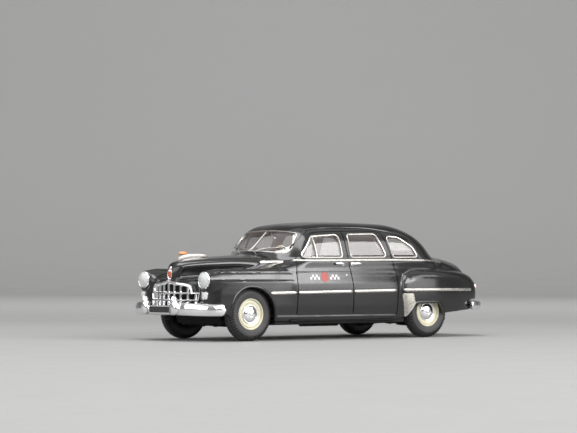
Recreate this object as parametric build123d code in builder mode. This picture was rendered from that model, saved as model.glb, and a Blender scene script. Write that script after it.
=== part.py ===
"""1:43 scale model of a long four-door saloon taxi of about 1950.

Millimetres. +X is the front of the car, +Y its left side, +Z up.
The origin is on the table under the middle of the car.
A cast body shell stands on a moulded base plate; two steel axles with pressed-on
wheels turn in bearing blocks of the base plate. Everything else is fixed.
"""
import os

from build123d import *

os.makedirs("parts", exist_ok=True)

# ------------------------------------------------------------------ driving sizes
SCALE = 43.0
LENGTH = 5530 / SCALE            # over the overriders
WHEELBASE = 3200 / SCALE
X_FRONT_AXLE = 40.55
X_REAR_AXLE = X_FRONT_AXLE - WHEELBASE
TYRE_R, TYRE_W, TYRE_BORE_R = 8.55, 4.1, 5.15
RIM_R, HUBCAP_R = 5.2, 2.85
Z_AXLE = TYRE_R
FRONT_TRACK, REAR_TRACK = 1455 / SCALE, 1500 / SCALE
AXLE_R, AXLE_CLEARANCE = 0.8, 0.05
WALL = 1.1                       # casting thickness of the body
ROOF_WALL = 1.0
GLASS_OUT, GLASS_IN = 0.28, 0.86  # depth of the panes below the outer skin
TRIM = 0.38                      # how proud bright strips stand
FRAME_PROUD = 0.12               # window frames stand this proud
X_NOSE, X_TAIL = 57.0, -60.5     # flat ends of the casting
BUMPER_X_F, BUMPER_X_R = 62.35, -63.4
BUMPER_Z_F, BUMPER_Z_R = (8.2, 12.5), (9.0, 12.2)
OVERRIDER_X_F, OVERRIDER_X_R = LENGTH / 2, -LENGTH / 2
LAMP_Y, LAMP_Z, LAMP_R = 15.7, 19.3, 2.75
PLINTH_HOLE_R, PLINTH_HOLES_X = 1.25, (20.0, -12.0)

# ------------------------------------------------------------------ section tables
# lower body, along X: x, half width, bottom z, top z, top radius, bottom radius
HULL = [
    (X_NOSE, 17.6, 8.2, 20.2, 3.0, 1.6),
    (50.0, 20.3, 6.9, 21.0, 3.2, 1.4),
    (36.0, 20.8, 6.2, 22.8, 3.2, 1.2),
    (22.0, 21.1, 6.0, 25.65, 3.2, 1.2),
    (-4.0, 21.2, 6.0, 25.7, 3.2, 1.2),
    (-24.0, 20.9, 6.3, 25.7, 3.6, 1.2),
    (-42.0, 19.2, 7.2, 25.4, 5.0, 1.6),
    (-54.0, 16.6, 8.4, 23.0, 5.6, 2.2),
    (X_TAIL, 13.6, 9.6, 18.6, 5.0, 2.6),
]
# bonnet, along X: x, half width, bottom z, top z, top radius
BONNET = [
    (58.9, 4.4, 17.2, 23.0, 3.2),
    (57.3, 6.4, 17.0, 24.7, 4.0),
    (50.0, 9.0, 17.0, 25.9, 4.8),
    (37.0, 12.6, 17.0, 26.9, 5.4),
    (25.0, 14.6, 17.0, 27.5, 6.0),
]
# cabin, along Z: z, front x, rear x, half width, front corner radius, rear corner radius
CABIN = [
    (24.2, 29.4, -46.0, 19.5, 10.0, 13.0),
    (27.5, 27.4, -41.8, 19.0, 10.0, 13.0),
    (31.5, 23.4, -36.8, 17.8, 9.6, 12.0),
    (35.0, 18.8, -31.6, 15.9, 9.0, 11.0),
    (37.2, 11.0, -25.0, 12.2, 7.6, 9.0),
    (38.2, 2.5, -14.5, 6.0, 4.0, 4.6),
]
# wings (fenders), left side, along X: x, inner y, outer y, bottom z, top z, radius
FRONT_WING = [
    (57.2, 12.9, 18.5, 16.5, 22.1, 2.6),
    (48.0, 13.6, 20.5, 14.6, 22.6, 3.0),
    (36.0, 14.6, 21.0, 13.0, 22.7, 2.9),
    (23.6, 16.4, 21.15, 13.0, 22.4, 2.2),
]
REAR_WING = [
    (-21.0, 15.0, 21.1, 6.9, 18.2, 2.0),
    (-25.5, 15.0, 21.7, 6.9, 21.8, 2.8),
    (-36.0, 15.0, 21.7, 7.4, 22.3, 3.2),
    (-48.0, 14.0, 20.4, 8.3, 21.3, 3.0),
    (-59.0, 11.5, 16.4, 9.3, 18.4, 2.4),
]
# side windows, XZ corner points in order and corner radius
SIDE_WINDOWS = {
    "front": ([(21.0, 26.6), (14.8, 32.9), (3.6, 33.7), (3.0, 26.7)], 0.9),
    "rear": ([(-0.6, 26.7), (-1.1, 33.8), (-11.6, 34.0), (-15.4, 26.8)], 0.9),
    "quarter": ([(-18.6, 26.8), (-18.0, 33.2), (-23.6, 32.4), (-28.6, 29.4), (-29.6, 26.9)], 0.7),
}
VENT_BAR = ((14.2, 26.0), (13.4, 34.0), 0.5)     # foot, head, width of the vent window bar
WINDSCREEN = ([(15.6, 27.9), (14.0, 34.6), (-14.0, 34.6), (-15.6, 27.9)], 1.6)   # YZ
REAR_SCREEN = ([(10.6, 28.4), (8.8, 33.6), (-8.8, 33.6), (-10.6, 28.4)], 1.8)    # YZ
FRAME_W = 0.55                                   # width of a bright window frame


# ------------------------------------------------------------------ outlines
def box_outline(y0, y1, z0, z1, r_top, r_bot):
    """Upright box with rounded corners, as lines and arcs of the open BuildLine."""
    k = 0.70710678
    p = [
        (y0 + r_bot, z0), (y1 - r_bot, z0), (y1, z0 + r_bot), (y1, z1 - r_top),
        (y1 - r_top, z1), (y0 + r_top, z1), (y0, z1 - r_top), (y0, z0 + r_bot),
    ]
    Line(p[0], p[1])
    ThreePointArc(p[1], (y1 - r_bot + k * r_bot, z0 + r_bot - k * r_bot), p[2])
    Line(p[2], p[3])
    ThreePointArc(p[3], (y1 - r_top + k * r_top, z1 - r_top + k * r_top), p[4])
    Line(p[4], p[5])
    ThreePointArc(p[5], (y0 + r_top - k * r_top, z1 - r_top + k * r_top), p[6])
    Line(p[6], p[7])
    ThreePointArc(p[7], (y0 + r_bot - k * r_bot, z0 + r_bot - k * r_bot), p[0])


def plan_outline(xf, xr, hw, rf, rr):
    """Cabin plan at one height: straight sides, rounded front and rear corners."""
    k = 0.70710678
    Line((xr, -(hw - rr)), (xr, hw - rr))
    ThreePointArc((xr, hw - rr), (xr + rr - k * rr, hw - rr + k * rr), (xr + rr, hw))
    Line((xr + rr, hw), (xf - rf, hw))
    ThreePointArc((xf - rf, hw), (xf - rf + k * rf, hw - rf + k * rf), (xf, hw - rf))
    Line((xf, hw - rf), (xf, -(hw - rf)))
    ThreePointArc((xf, -(hw - rf)), (xf - rf + k * rf, -(hw - rf + k * rf)), (xf - rf, -hw))
    Line((xf - rf, -hw), (xr + rr, -hw))
    ThreePointArc((xr + rr, -hw), (xr + rr - k * rr, -(hw - rr + k * rr)), (xr, -(hw - rr)))


# ------------------------------------------------------------------ body volumes, t = depth below the skin
def hull(t, drop=0.0):
    with BuildPart() as p:
        for i, (x, hw, zb, zt, rt, rb) in enumerate(HULL):
            xs = x - t if i == 0 else x + t if i == len(HULL) - 1 else x
            with BuildSketch(Plane.YZ.offset(xs)):
                with BuildLine():
                    box_outline(-hw + t, hw - t, zb - drop, zt - t, rt - min(t, 0.8 * rt), max(0.2, rb - max(t, 0)))
                make_face()
        loft()
    return p.part


def bonnet(t):
    with BuildPart() as p:
        for i, (x, hw, zb, zt, rt) in enumerate(BONNET):
            with BuildSketch(Plane.YZ.offset(x - t if i == 0 else x)):
                with BuildLine():
                    box_outline(-hw + t, hw - t, zb, zt - t, rt - 0.6 * t, 0.5)
                make_face()
        loft()
    return p.part


def cabin(t):
    with BuildPart() as p:
        for z, xf, xr, hw, rf, rr in CABIN:
            last = z == CABIN[-1][0]
            with BuildSketch(Plane.XY.offset(z - t if last else z - 0.35 * t if z > 37 else z)):
                with BuildLine():
                    plan_outline(xf - t, xr + t, hw - t, rf - 0.5 * t, rr - 0.5 * t)
                make_face()
        loft()
    return p.part


def wing(table, t, drop=0.0):
    """Left wing; the open end towards the middle of the car is not moved."""
    with BuildPart() as p:
        for i, (x, y0, y1, z0, z1, r) in enumerate(table):
            front_end = i == 0
            rear_end = i == len(table) - 1
            xs = x - t if front_end else x + t if rear_end and table is REAR_WING else x
            with BuildSketch(Plane.YZ.offset(xs)):
                with BuildLine():
                    box_outline(y0, y1 - t, z0 + (t if table is FRONT_WING else -drop), z1 - t, r - 0.6 * t, r - 0.6 * t if table is FRONT_WING else 0.4)
                make_face()
        loft()
    return p.part


def prism_xz(points, radius, y0, y1, grow=0.0):
    """Side-view outline cut along Y from y0 to y1, grown outwards by grow."""
    with BuildPart() as p:
        with BuildSketch(Plane.XZ.offset(-y1)) as s:
            with BuildLine():
                Polyline(*points, close=True)
            make_face()
            if grow:
                offset(amount=grow, kind=Kind.INTERSECTION, mode=Mode.REPLACE)
            fillet(s.vertices(), radius + 0.5 * grow)
        extrude(amount=y1 - y0)
    return p.part


def prism_yz(points, radius, x0, x1, grow=0.0):
    """Front-view outline cut along X from x0 to x1."""
    with BuildPart() as p:
        with BuildSketch(Plane.YZ.offset(x0)) as s:
            with BuildLine():
                Polyline(*points, close=True)
            make_face()
            if grow:
                offset(amount=grow, kind=Kind.INTERSECTION, mode=Mode.REPLACE)
            fillet(s.vertices(), radius + 0.5 * grow)
        extrude(amount=x1 - x0)
    return p.part


def box_part(x0, x1, y0, y1, z0, z1):
    with BuildPart() as p:
        with Locations(((x0 + x1) / 2, (y0 + y1) / 2, (z0 + z1) / 2)):
            Box(x1 - x0, y1 - y0, z1 - z0)
    return p.part


def both_sides(part):
    return [part, part.mirror(Plane.XZ)]


def write(builder, name):
    builder.part.label = name
    export_step(builder.part, f"parts/{name}.step")


# ------------------------------------------------------------------ outer skin and cavity
with BuildPart() as skin:
    add(hull(0))
    add(bonnet(0))
    add(cabin(0))
    add(both_sides(wing(FRONT_WING, 0)))
    add(both_sides(wing(REAR_WING, 0)))

with BuildPart() as cavity:
    add(hull(WALL, drop=4.0))
    add(bonnet(WALL))
    add(cabin(ROOF_WALL))
    add(both_sides(wing(REAR_WING, WALL, drop=4.0)))

side_cutters = {n: prism_xz(pts, r, -24, 24) for n, (pts, r) in SIDE_WINDOWS.items()}
screen_cutter = prism_yz(*WINDSCREEN, 6.0, 34.0)
rear_cutter = prism_yz(*REAR_SCREEN, -56.0, -28.0)

with BuildPart() as front_arch:
    with BuildSketch(Plane.XZ.offset(-24)):
        with Locations((X_FRONT_AXLE, Z_AXLE)):
            Circle(8.4)
        with Locations((X_FRONT_AXLE, 2.0)):
            Rectangle(16.8, 13.0)
    extrude(amount=48)
with BuildPart() as rear_arch:
    with BuildSketch(Plane.XZ.offset(-24)) as s:
        with BuildLine():
            Polyline((-23.4, -1.0), (-23.4, 6.6), (-26.2, 11.4), (-37.4, 11.4), (-39.6, 7.4), (-39.6, -1.0), close=True)
        make_face()
        fillet(s.vertices().sort_by(Axis.Y)[-2:], 1.6)
    extrude(amount=48)

# ------------------------------------------------------------------ 1 body shell
with BuildPart() as body_shell:
    add(skin.part)
    add(cavity.part, mode=Mode.SUBTRACT)
    for c in side_cutters.values():
        add(c, mode=Mode.SUBTRACT)
    add(screen_cutter, mode=Mode.SUBTRACT)
    add(rear_cutter, mode=Mode.SUBTRACT)
    add(front_arch.part, mode=Mode.SUBTRACT)
    add(rear_arch.part, mode=Mode.SUBTRACT)
write(body_shell, "body_shell")

# ------------------------------------------------------------------ 2 glazing and its bright frames
cabin_proud = cabin(-FRAME_PROUD)
cabin_glass_out = cabin(GLASS_OUT)
cabin_glass_in = cabin(GLASS_IN)
vent_foot, vent_head, vent_w = VENT_BAR
vent_bar = [
    (vent_foot[0] - vent_w / 2, vent_foot[1]), (vent_foot[0] + vent_w / 2, vent_foot[1]),
    (vent_head[0] + vent_w / 2, vent_head[1]), (vent_head[0] - vent_w / 2, vent_head[1]),
]

with BuildPart() as side_glass:
    for c in side_cutters.values():
        with BuildPart(mode=Mode.PRIVATE) as one:
            add(cabin_glass_out)
            add(cabin_glass_in, mode=Mode.SUBTRACT)
            add(c, mode=Mode.INTERSECT)
        add(one.part)
write(side_glass, "side_glass")

with BuildPart() as side_window_frames:
    for n, (pts, r) in SIDE_WINDOWS.items():
        with BuildPart(mode=Mode.PRIVATE) as ring:
            add(side_cutters[n])
            add(prism_xz(pts, r, -25, 25, grow=-FRAME_W), mode=Mode.SUBTRACT)
            if n == "front":
                with BuildPart(mode=Mode.PRIVATE) as bar:
                    add(prism_xz(vent_bar, 0.05, -24, 24))
                    add(side_cutters[n], mode=Mode.INTERSECT)
                add(bar.part)
        with BuildPart(mode=Mode.PRIVATE) as one:
            add(cabin_proud)
            add(cabin_glass_out, mode=Mode.SUBTRACT)
            add(ring.part, mode=Mode.INTERSECT)
        add(one.part)
write(side_window_frames, "side_window_frames")

SCREENS = (("windscreen", WINDSCREEN, screen_cutter, 6.0, 34.0, 0.6), ("rear_window", REAR_SCREEN, rear_cutter, -56.0, -28.0, 0.0))
screen_frames = {}
for name, (pts, r), cutter, x0, x1, bar_w in SCREENS:
    with BuildPart() as pane:
        add(cabin_glass_out)
        add(cabin_glass_in, mode=Mode.SUBTRACT)
        add(cutter, mode=Mode.INTERSECT)
    write(pane, name)
    with BuildPart() as ring:
        add(cutter)
        add(prism_yz(pts, r, x0 - 1, x1 + 1, grow=-FRAME_W), mode=Mode.SUBTRACT)
        if bar_w:
            with BuildPart(mode=Mode.PRIVATE) as bar:
                add(cutter)
                add(box_part(x0, x1, -bar_w / 2, bar_w / 2, 20, 40), mode=Mode.INTERSECT)
            add(bar.part)
    with BuildPart() as frame:
        add(cabin_proud)
        add(cabin_glass_out, mode=Mode.SUBTRACT)
        add(ring.part, mode=Mode.INTERSECT)
    write(frame, name + "_frame")
    screen_frames[name] = frame.part

with BuildPart() as wipers:
    blade = [(2.4, 27.4), (2.7, 27.4), (13.0, 29.6), (13.0, 29.9)]
    with BuildPart(mode=Mode.PRIVATE) as blades:
        add(both_sides(prism_yz(blade, 0.02, 6.0, 34.0)))
    add(cabin(-0.4))
    add(cabin(0), mode=Mode.SUBTRACT)
    add(blades.part, mode=Mode.INTERSECT)
    add(screen_frames["windscreen"], mode=Mode.SUBTRACT)
    add(skin.part, mode=Mode.SUBTRACT)
write(wipers, "wipers")

# ------------------------------------------------------------------ 3 bright strips on the skin
hull_proud = hull(-TRIM)
rear_wing_proud = wing(REAR_WING, -TRIM)


def strip(volume, cutter):
    """What a proud volume leaves outside the skin within a cutter."""
    with BuildPart() as p:
        add(volume)
        add(cutter, mode=Mode.INTERSECT)
        add(skin.part, mode=Mode.SUBTRACT)
    return p.part


with BuildPart() as belt_mouldings:
    add(strip(hull_proud, box_part(-43.4, 23.8, -24, 24, 25.0, 25.6)))
write(belt_mouldings, "belt_mouldings")

with BuildPart() as side_mouldings:
    add(strip(hull_proud, box_part(-19.0, 34.0, -24, 24, 14.95, 15.85)))
    add(both_sides(strip(rear_wing_proud, box_part(-54.0, -21.4, 14, 24, 15.35, 16.2))))
write(side_mouldings, "side_mouldings")

with BuildPart() as stone_guards:
    guard = [(-21.6, 14.6), (-25.6, 14.6), (-26.2, 11.5), (-23.4, 7.0), (-22.6, 7.0)]
    add(both_sides(strip(rear_wing_proud, prism_xz(guard, 0.3, 14, 24))))
write(stone_guards, "stone_guards")

with BuildPart() as bonnet_side_badges:
    add(strip(bonnet(-0.3), box_part(26.0, 32.3, -24, 24, 24.6, 25.3)))
write(bonnet_side_badges, "bonnet_side_badges")

with BuildPart() as door_handles:
    for x in (5.4, -1.8):
        with BuildPart(mode=Mode.PRIVATE) as grip:
            with Locations((x, 20.6, 24.3)):
                Box(4.2, 1.6, 0.75)
            fillet(grip.edges().filter_by(Axis.X), 0.3)
            add(skin.part, mode=Mode.SUBTRACT)
        add(both_sides(grip.part))
write(door_handles, "door_handles")

with BuildPart() as boot_handle:
    with BuildPart(mode=Mode.PRIVATE) as grip:
        with Locations((-59.6, 0, 18.6)):
            Box(2.2, 5.0, 1.1)
        fillet(grip.edges(), 0.3)
    add(grip.part)
    add(skin.part, mode=Mode.SUBTRACT)
write(boot_handle, "boot_handle")

# ------------------------------------------------------------------ 4 nose: grille, badge, mascot, lamps
with BuildPart() as grille:
    rim = [(-12.9, 10.8), (12.9, 10.8), (12.9, 15.5), (10.2, 15.6), (9.4, 18.0), (0, 18.9), (-9.4, 18.0), (-10.2, 15.6), (-12.9, 15.5)]
    with BuildSketch(Plane.YZ.offset(X_NOSE)) as s:
        with BuildLine():
            Polyline(*rim, close=True)
        make_face()
        offset(amount=-0.6, kind=Kind.INTERSECTION, mode=Mode.SUBTRACT)
        for z in (12.95, 15.25):
            with Locations((0, z)):
                Rectangle(25.8, 0.6)
        with GridLocations(1.98, 0, 13, 1):
            with Locations((0, 14.8)):
                Rectangle(0.36, 8.4)
        with BuildLine():
            Polyline(*rim, close=True)
        make_face(mode=Mode.INTERSECT)
    extrude(amount=1.3)
    add(skin.part, mode=Mode.SUBTRACT)
write(grille, "grille")

with BuildPart() as bonnet_badge:
    with BuildSketch(Plane.YZ.offset(BONNET[0][0])) as s:
        with BuildLine():
            Polyline((-1.4, 22.9), (1.4, 22.9), (1.4, 20.4), (0, 19.2), (-1.4, 20.4), close=True)
        make_face()
        fillet(s.vertices(), 0.3)
    extrude(amount=0.5)
write(bonnet_badge, "bonnet_badge")

MASCOT_Z, MASCOT_SPLIT = 27.05, 52.6
with BuildPart() as bonnet_mascot:
    for x, r in ((43.8, 0.22), (47.5, 0.55), (MASCOT_SPLIT, 0.8)):
        with BuildSketch(Plane.YZ.offset(x)):
            with Locations((0, MASCOT_Z)):
                Circle(r)
    loft()
    add(box_part(46.5, MASCOT_SPLIT, -0.3, 0.3, 25.2, MASCOT_Z))
    add(skin.part, mode=Mode.SUBTRACT)
write(bonnet_mascot, "bonnet_mascot")
with BuildPart() as bonnet_mascot_tip:
    for x, r in ((MASCOT_SPLIT, 0.8), (54.2, 0.7), (55.2, 0.35)):
        with BuildSketch(Plane.YZ.offset(x)):
            with Locations((0, MASCOT_Z)):
                Circle(r)
    loft()
write(bonnet_mascot_tip, "bonnet_mascot_tip")

with BuildPart() as headlamp_rims:
    with BuildSketch(Plane.YZ.offset(FRONT_WING[0][0])):
        with Locations((LAMP_Y, LAMP_Z), (-LAMP_Y, LAMP_Z)):
            Circle(LAMP_R)
            Circle(LAMP_R - 0.5, mode=Mode.SUBTRACT)
    extrude(amount=1.1)
    fillet(headlamp_rims.edges().group_by(Axis.X)[-1], 0.2)
write(headlamp_rims, "headlamp_rims")
with BuildPart() as headlamp_lenses:
    with BuildSketch(Plane.YZ.offset(FRONT_WING[0][0])):
        with Locations((LAMP_Y, LAMP_Z), (-LAMP_Y, LAMP_Z)):
            Circle(LAMP_R - 0.5)
    extrude(amount=1.3)
    fillet(headlamp_lenses.edges().group_by(Axis.X)[-1], 0.7)
write(headlamp_lenses, "headlamp_lenses")

with BuildPart() as parking_lamps:
    with BuildPart(mode=Mode.PRIVATE) as lamp:
        with Locations((X_NOSE + 0.4, 15.5, 14.5)):
            Box(0.8, 2.7, 2.2)
        fillet(lamp.edges().group_by(Axis.X)[-1], 0.3)
    add(both_sides(lamp.part))
write(parking_lamps, "parking_lamps")

with BuildPart() as tail_lamps:
    with BuildPart(mode=Mode.PRIVATE) as lamp:
        with Locations((REAR_WING[-1][0] - 0.5, 14.6, 16.4)):
            Box(1.0, 2.4, 2.4)
        fillet(lamp.edges().group_by(Axis.X)[0], 0.4)
        add(skin.part, mode=Mode.SUBTRACT)
    add(both_sides(lamp.part))
write(tail_lamps, "tail_lamps")

# ------------------------------------------------------------------ 5 bumpers, overriders, plates
with BuildPart() as front_bumper:
    with BuildSketch(Plane.XY.offset(BUMPER_Z_F[0])):
        with BuildLine():
            xf, t = BUMPER_X_F, 1.4
            Line((xf, -12.5), (xf, 12.5))
            ThreePointArc((xf, 12.5), (59.6, 18.2), (52.5, 21.5))
            Line((52.5, 21.5), (52.5, 20.3))
            ThreePointArc((52.5, 20.3), (58.7, 17.35), (xf - t, 12.3))
            Line((xf - t, 12.3), (xf - t, -12.3))
            ThreePointArc((xf - t, -12.3), (58.7, -17.35), (52.5, -20.3))
            Line((52.5, -20.3), (52.5, -21.5))
            ThreePointArc((52.5, -21.5), (59.6, -18.2), (xf, -12.5))
        make_face()
    extrude(amount=BUMPER_Z_F[1] - BUMPER_Z_F[0])
    for y in (-7.7, 7.7):
        add(box_part(X_NOSE, BUMPER_X_F - 1.4, y - 1.0, y + 1.0, 8.9, 10.5))
write(front_bumper, "front_bumper")

with BuildPart() as rear_bumper:
    with BuildSketch(Plane.XY.offset(BUMPER_Z_R[0])):
        with BuildLine():
            xr, t = BUMPER_X_R, 1.3
            Line((xr, -10.5), (xr, 10.5))
            ThreePointArc((xr, 10.5), (-61.6, 16.3), (-55.0, 20.0))
            Line((-55.0, 20.0), (-55.0, 18.9))
            ThreePointArc((-55.0, 18.9), (-60.6, 15.6), (xr + t, 10.3))
            Line((xr + t, 10.3), (xr + t, -10.3))
            ThreePointArc((xr + t, -10.3), (-60.6, -15.6), (-55.0, -18.9))
            Line((-55.0, -18.9), (-55.0, -20.0))
            ThreePointArc((-55.0, -20.0), (-61.6, -16.3), (xr, -10.5))
        make_face()
    extrude(amount=BUMPER_Z_R[1] - BUMPER_Z_R[0])
    for y in (-7.0, 7.0):
        add(box_part(BUMPER_X_R + 1.3, X_TAIL, y - 1.0, y + 1.0, 9.9, 11.7))
write(rear_bumper, "rear_bumper")

OVERRIDERS = (
    ("front_overriders", 61.6, OVERRIDER_X_F, 7.7, 8.5, 14.0, front_bumper),
    ("rear_overriders", OVERRIDER_X_R, -62.6, 7.0, 8.9, 13.7, rear_bumper),
)
for name, x0, x1, y, z0, z1, bumper in OVERRIDERS:
    with BuildPart() as horns:
        with BuildPart(mode=Mode.PRIVATE) as horn:
            with Locations(((x0 + x1) / 2, y, (z0 + z1) / 2)):
                Box(x1 - x0, 2.0, z1 - z0)
            fillet(horn.edges(), 0.7)
            add(bumper.part, mode=Mode.SUBTRACT)
        add(both_sides(horn.part))
    write(horns, name)

with BuildPart() as front_number_plate:
    add(box_part(BUMPER_X_F, BUMPER_X_F + 0.4, -5.5, 5.5, 9.0, 11.5))
write(front_number_plate, "front_number_plate")
with BuildPart() as rear_number_plate:
    add(box_part(X_TAIL - 0.4, X_TAIL, -5.5, 5.5, 12.9, 15.4))
write(rear_number_plate, "rear_number_plate")

# ------------------------------------------------------------------ 6 base plate with bearings and underside relief
PLATE_Z = (5.3, 6.6)
PLATE = [
    (47.0, 11.6), (45.0, 13.0), (31.2, 13.0), (31.2, 19.2), (-23.2, 19.2), (-23.2, 13.4), (-43.0, 13.4), (-46.0, 11.6),
]
BLOCK_Y = (7.0, 11.0)
with BuildPart() as base_plate:
    with BuildSketch(Plane.XY.offset(PLATE_Z[0])):
        with BuildLine():
            Polyline(*PLATE, *[(x, -y) for x, y in reversed(PLATE)], close=True)
        make_face()
    extrude(amount=PLATE_Z[1] - PLATE_Z[0])
    add(box_part(-18, 26, -20.8, 20.8, 6.15, PLATE_Z[1]))
    for xa in (X_FRONT_AXLE, X_REAR_AXLE):
        for s in (1, -1):
            y0, y1 = sorted((s * BLOCK_Y[0], s * BLOCK_Y[1]))
            add(box_part(xa - 2.2, xa + 2.2, y0, y1, PLATE_Z[0], Z_AXLE + 2.2))
    for y in (-9.5, 9.5):                                          # chassis rails
        add(box_part(-45.0, 46.0, y - 0.9, y + 0.9, 4.7, PLATE_Z[0]))
    add(box_part(37.5, 43.5, -12.5, 12.5, 4.5, PLATE_Z[0]))         # front cross member
    add(box_part(27.0, 37.5, -3.2, 3.2, 4.1, PLATE_Z[0]))           # sump
    add(box_part(22.5, 27.0, -2.2, 2.2, 4.4, PLATE_Z[0]))           # gearbox
    with Locations(Location((-10.0, 0, 5.2), (0, 90, 0))):          # propeller shaft
        Cylinder(0.75, 48.0)
    with Locations((X_REAR_AXLE, 0, 6.4)):                          # differential
        Sphere(2.4)
    for y in (-12.2, 12.2):                                        # leaf springs
        add(box_part(-44.0, -22.0, y - 0.9, y + 0.9, 4.6, PLATE_Z[0]))
        add(box_part(-39.0, -28.0, y - 0.9, y + 0.9, 4.0, 4.6))
    for x in PLINTH_HOLES_X:
        with Locations((x, 0, (4.4 + PLATE_Z[1]) / 2)):
            Cylinder(2.6, PLATE_Z[1] - 4.4)
            Cylinder(PLINTH_HOLE_R, 4.0, mode=Mode.SUBTRACT)
    for xa in (X_FRONT_AXLE, X_REAR_AXLE):
        with Locations(Location((xa, 0, Z_AXLE), (90, 0, 0))):
            Cylinder(AXLE_R + AXLE_CLEARANCE, 2 * BLOCK_Y[1] + 2, mode=Mode.SUBTRACT)
    with Locations(Location((X_REAR_AXLE, 0, Z_AXLE), (90, 0, 0))):  # room for the axle over the differential
        Cylinder(AXLE_R + 0.4, 2 * BLOCK_Y[0], mode=Mode.SUBTRACT)
    add(body_shell.part, mode=Mode.SUBTRACT)
write(base_plate, "base_plate")

with BuildPart() as exhaust:
    with Locations(Location((-6.0, -6.6, 4.75), (0, 90, 0))):
        Cylinder(0.6, 78.0)
    with Locations(Location((-8.0, -6.6, 4.5), (0, 90, 0))):
        Cylinder(1.0, 16.0)
    add(base_plate.part, mode=Mode.SUBTRACT)
write(exhaust, "exhaust")

# ------------------------------------------------------------------ 7 cabin insert
FLOOR_Z, SHELF_Z = 7.6, 13.3
with BuildPart() as cabin_floor:
    with BuildSketch(Plane.XZ.offset(-14.0)):
        with BuildLine():
            Polyline((24.5, PLATE_Z[1]), (24.5, FLOOR_Z), (-21.0, FLOOR_Z), (-21.0, SHELF_Z), (-44.0, SHELF_Z), (-44.0, SHELF_Z - 1), (-22.0, SHELF_Z - 1), (-22.0, PLATE_Z[1]), close=True)
        make_face()
    extrude(amount=28.0)
    add(box_part(-22.0, 24.5, -18.4, 18.4, PLATE_Z[1], FLOOR_Z))
write(cabin_floor, "cabin_floor")

SEATS = (
    ("front_seat", [(13.0, FLOOR_Z), (13.4, 14.0), (5.2, 13.4), (3.2, 25.0), (0.6, 25.0), (1.6, FLOOR_Z)], 15.8),
    ("rear_seat", [(-23.0, SHELF_Z), (-22.6, 17.4), (-31.6, 16.8), (-34.6, 27.0), (-37.4, 27.0), (-36.0, SHELF_Z)], 13.6),
    ("dashboard", [(24.2, FLOOR_Z), (24.2, 26.2), (21.4, 26.6), (20.4, 22.4), (22.6, 20.0), (23.2, FLOOR_Z)], 13.6),
)
for name, pts, hw in SEATS:
    with BuildPart() as bench:
        with BuildSketch(Plane.XZ.offset(-hw)) as s:
            with BuildLine():
                Polyline(*pts, close=True)
            make_face()
            fillet(s.vertices().sort_by(Axis.Y)[2:], 0.7)
        extrude(amount=2 * hw)
        if name == "dashboard":
            add(body_shell.part, mode=Mode.SUBTRACT)
    write(bench, name)
    if name == "dashboard":
        dashboard = bench.part

with BuildPart() as steering_wheel:
    with Locations(Location((17.6, 7.2, 26.6), (0, -62, 0))):
        Torus(4.0, 0.32)
        Cylinder(0.35, 8.0)
        Cylinder(0.7, 1.0)
        Box(0.5, 7.9, 0.4)
    with BuildPart(mode=Mode.PRIVATE) as column:
        with Locations(Location((20.2, 7.2, 25.2), (0, -62, 0))):
            Cylinder(0.45, 6.0)
    add(column.part)
    add(dashboard, mode=Mode.SUBTRACT)
write(steering_wheel, "steering_wheel")

with BuildPart() as rear_view_mirror:
    add(box_part(16.9, 17.4, -1.7, 1.7, 32.2, 33.4))
    add(box_part(16.95, 17.35, -0.25, 0.25, 33.4, 35.2))
    add(body_shell.part, mode=Mode.SUBTRACT)
write(rear_view_mirror, "rear_view_mirror")

# ------------------------------------------------------------------ 8 axles and wheels
AXLES = (("front", X_FRONT_AXLE, FRONT_TRACK / 2), ("rear", X_REAR_AXLE, REAR_TRACK / 2))
for end, xa, yc in AXLES:
    spin = Axis((xa, 0, Z_AXLE), (0, 1, 0))
    with BuildPart() as rod:
        with Locations(Location((xa, 0, Z_AXLE), (90, 0, 0))):
            Cylinder(AXLE_R, 2 * (yc + 1.0))
    write(rod, f"{end}_axle_rod")
    with BuildPart() as tyres:
        with BuildSketch(Plane.YZ.offset(xa)) as s:
            with Locations((yc, Z_AXLE + (TYRE_R + TYRE_BORE_R) / 2)):
                Rectangle(TYRE_W, TYRE_R - TYRE_BORE_R)
            fillet(s.vertices().sort_by(Axis.Y)[-2:], 1.3)
            fillet(s.vertices().sort_by(Axis.Y)[:2], 0.5)
        revolve(axis=spin)
        mirror(about=Plane.XZ)
    write(tyres, f"{end}_tyres")
    with BuildPart() as rims:
        with BuildSketch(Plane.YZ.offset(xa)):
            with BuildLine():
                Polyline(*[(yc + y, Z_AXLE + r) for y, r in (
                    (-1.7, RIM_R), (1.7, RIM_R), (1.75, 4.6), (1.2, 4.4), (1.2, AXLE_R - 0.03), (-1.5, AXLE_R - 0.03),
                    (-1.5, 2.0), (0.2, 2.2), (0.2, 4.5), (-1.7, 4.5))], close=True)
            make_face()
        revolve(axis=spin)
        mirror(about=Plane.XZ)
    write(rims, f"{end}_rims")
    with BuildPart() as hubcaps:
        with BuildSketch(Plane.YZ.offset(xa)):
            with BuildLine():
                Line((yc + 1.2, Z_AXLE), (yc + 1.2, Z_AXLE + HUBCAP_R))
                ThreePointArc((yc + 1.2, Z_AXLE + HUBCAP_R), (yc + 1.74, Z_AXLE + 1.9), (yc + 2.0, Z_AXLE + 0.6))
                Line((yc + 2.0, Z_AXLE + 0.6), (yc + 2.0, Z_AXLE))
                Line((yc + 2.0, Z_AXLE), (yc + 1.2, Z_AXLE))
            make_face()
        revolve(axis=spin)
        mirror(about=Plane.XZ)
    write(hubcaps, f"{end}_hubcaps")
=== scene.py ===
import math

import bmesh
import bpy
import numpy as np
from mathutils import Matrix, Vector


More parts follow.
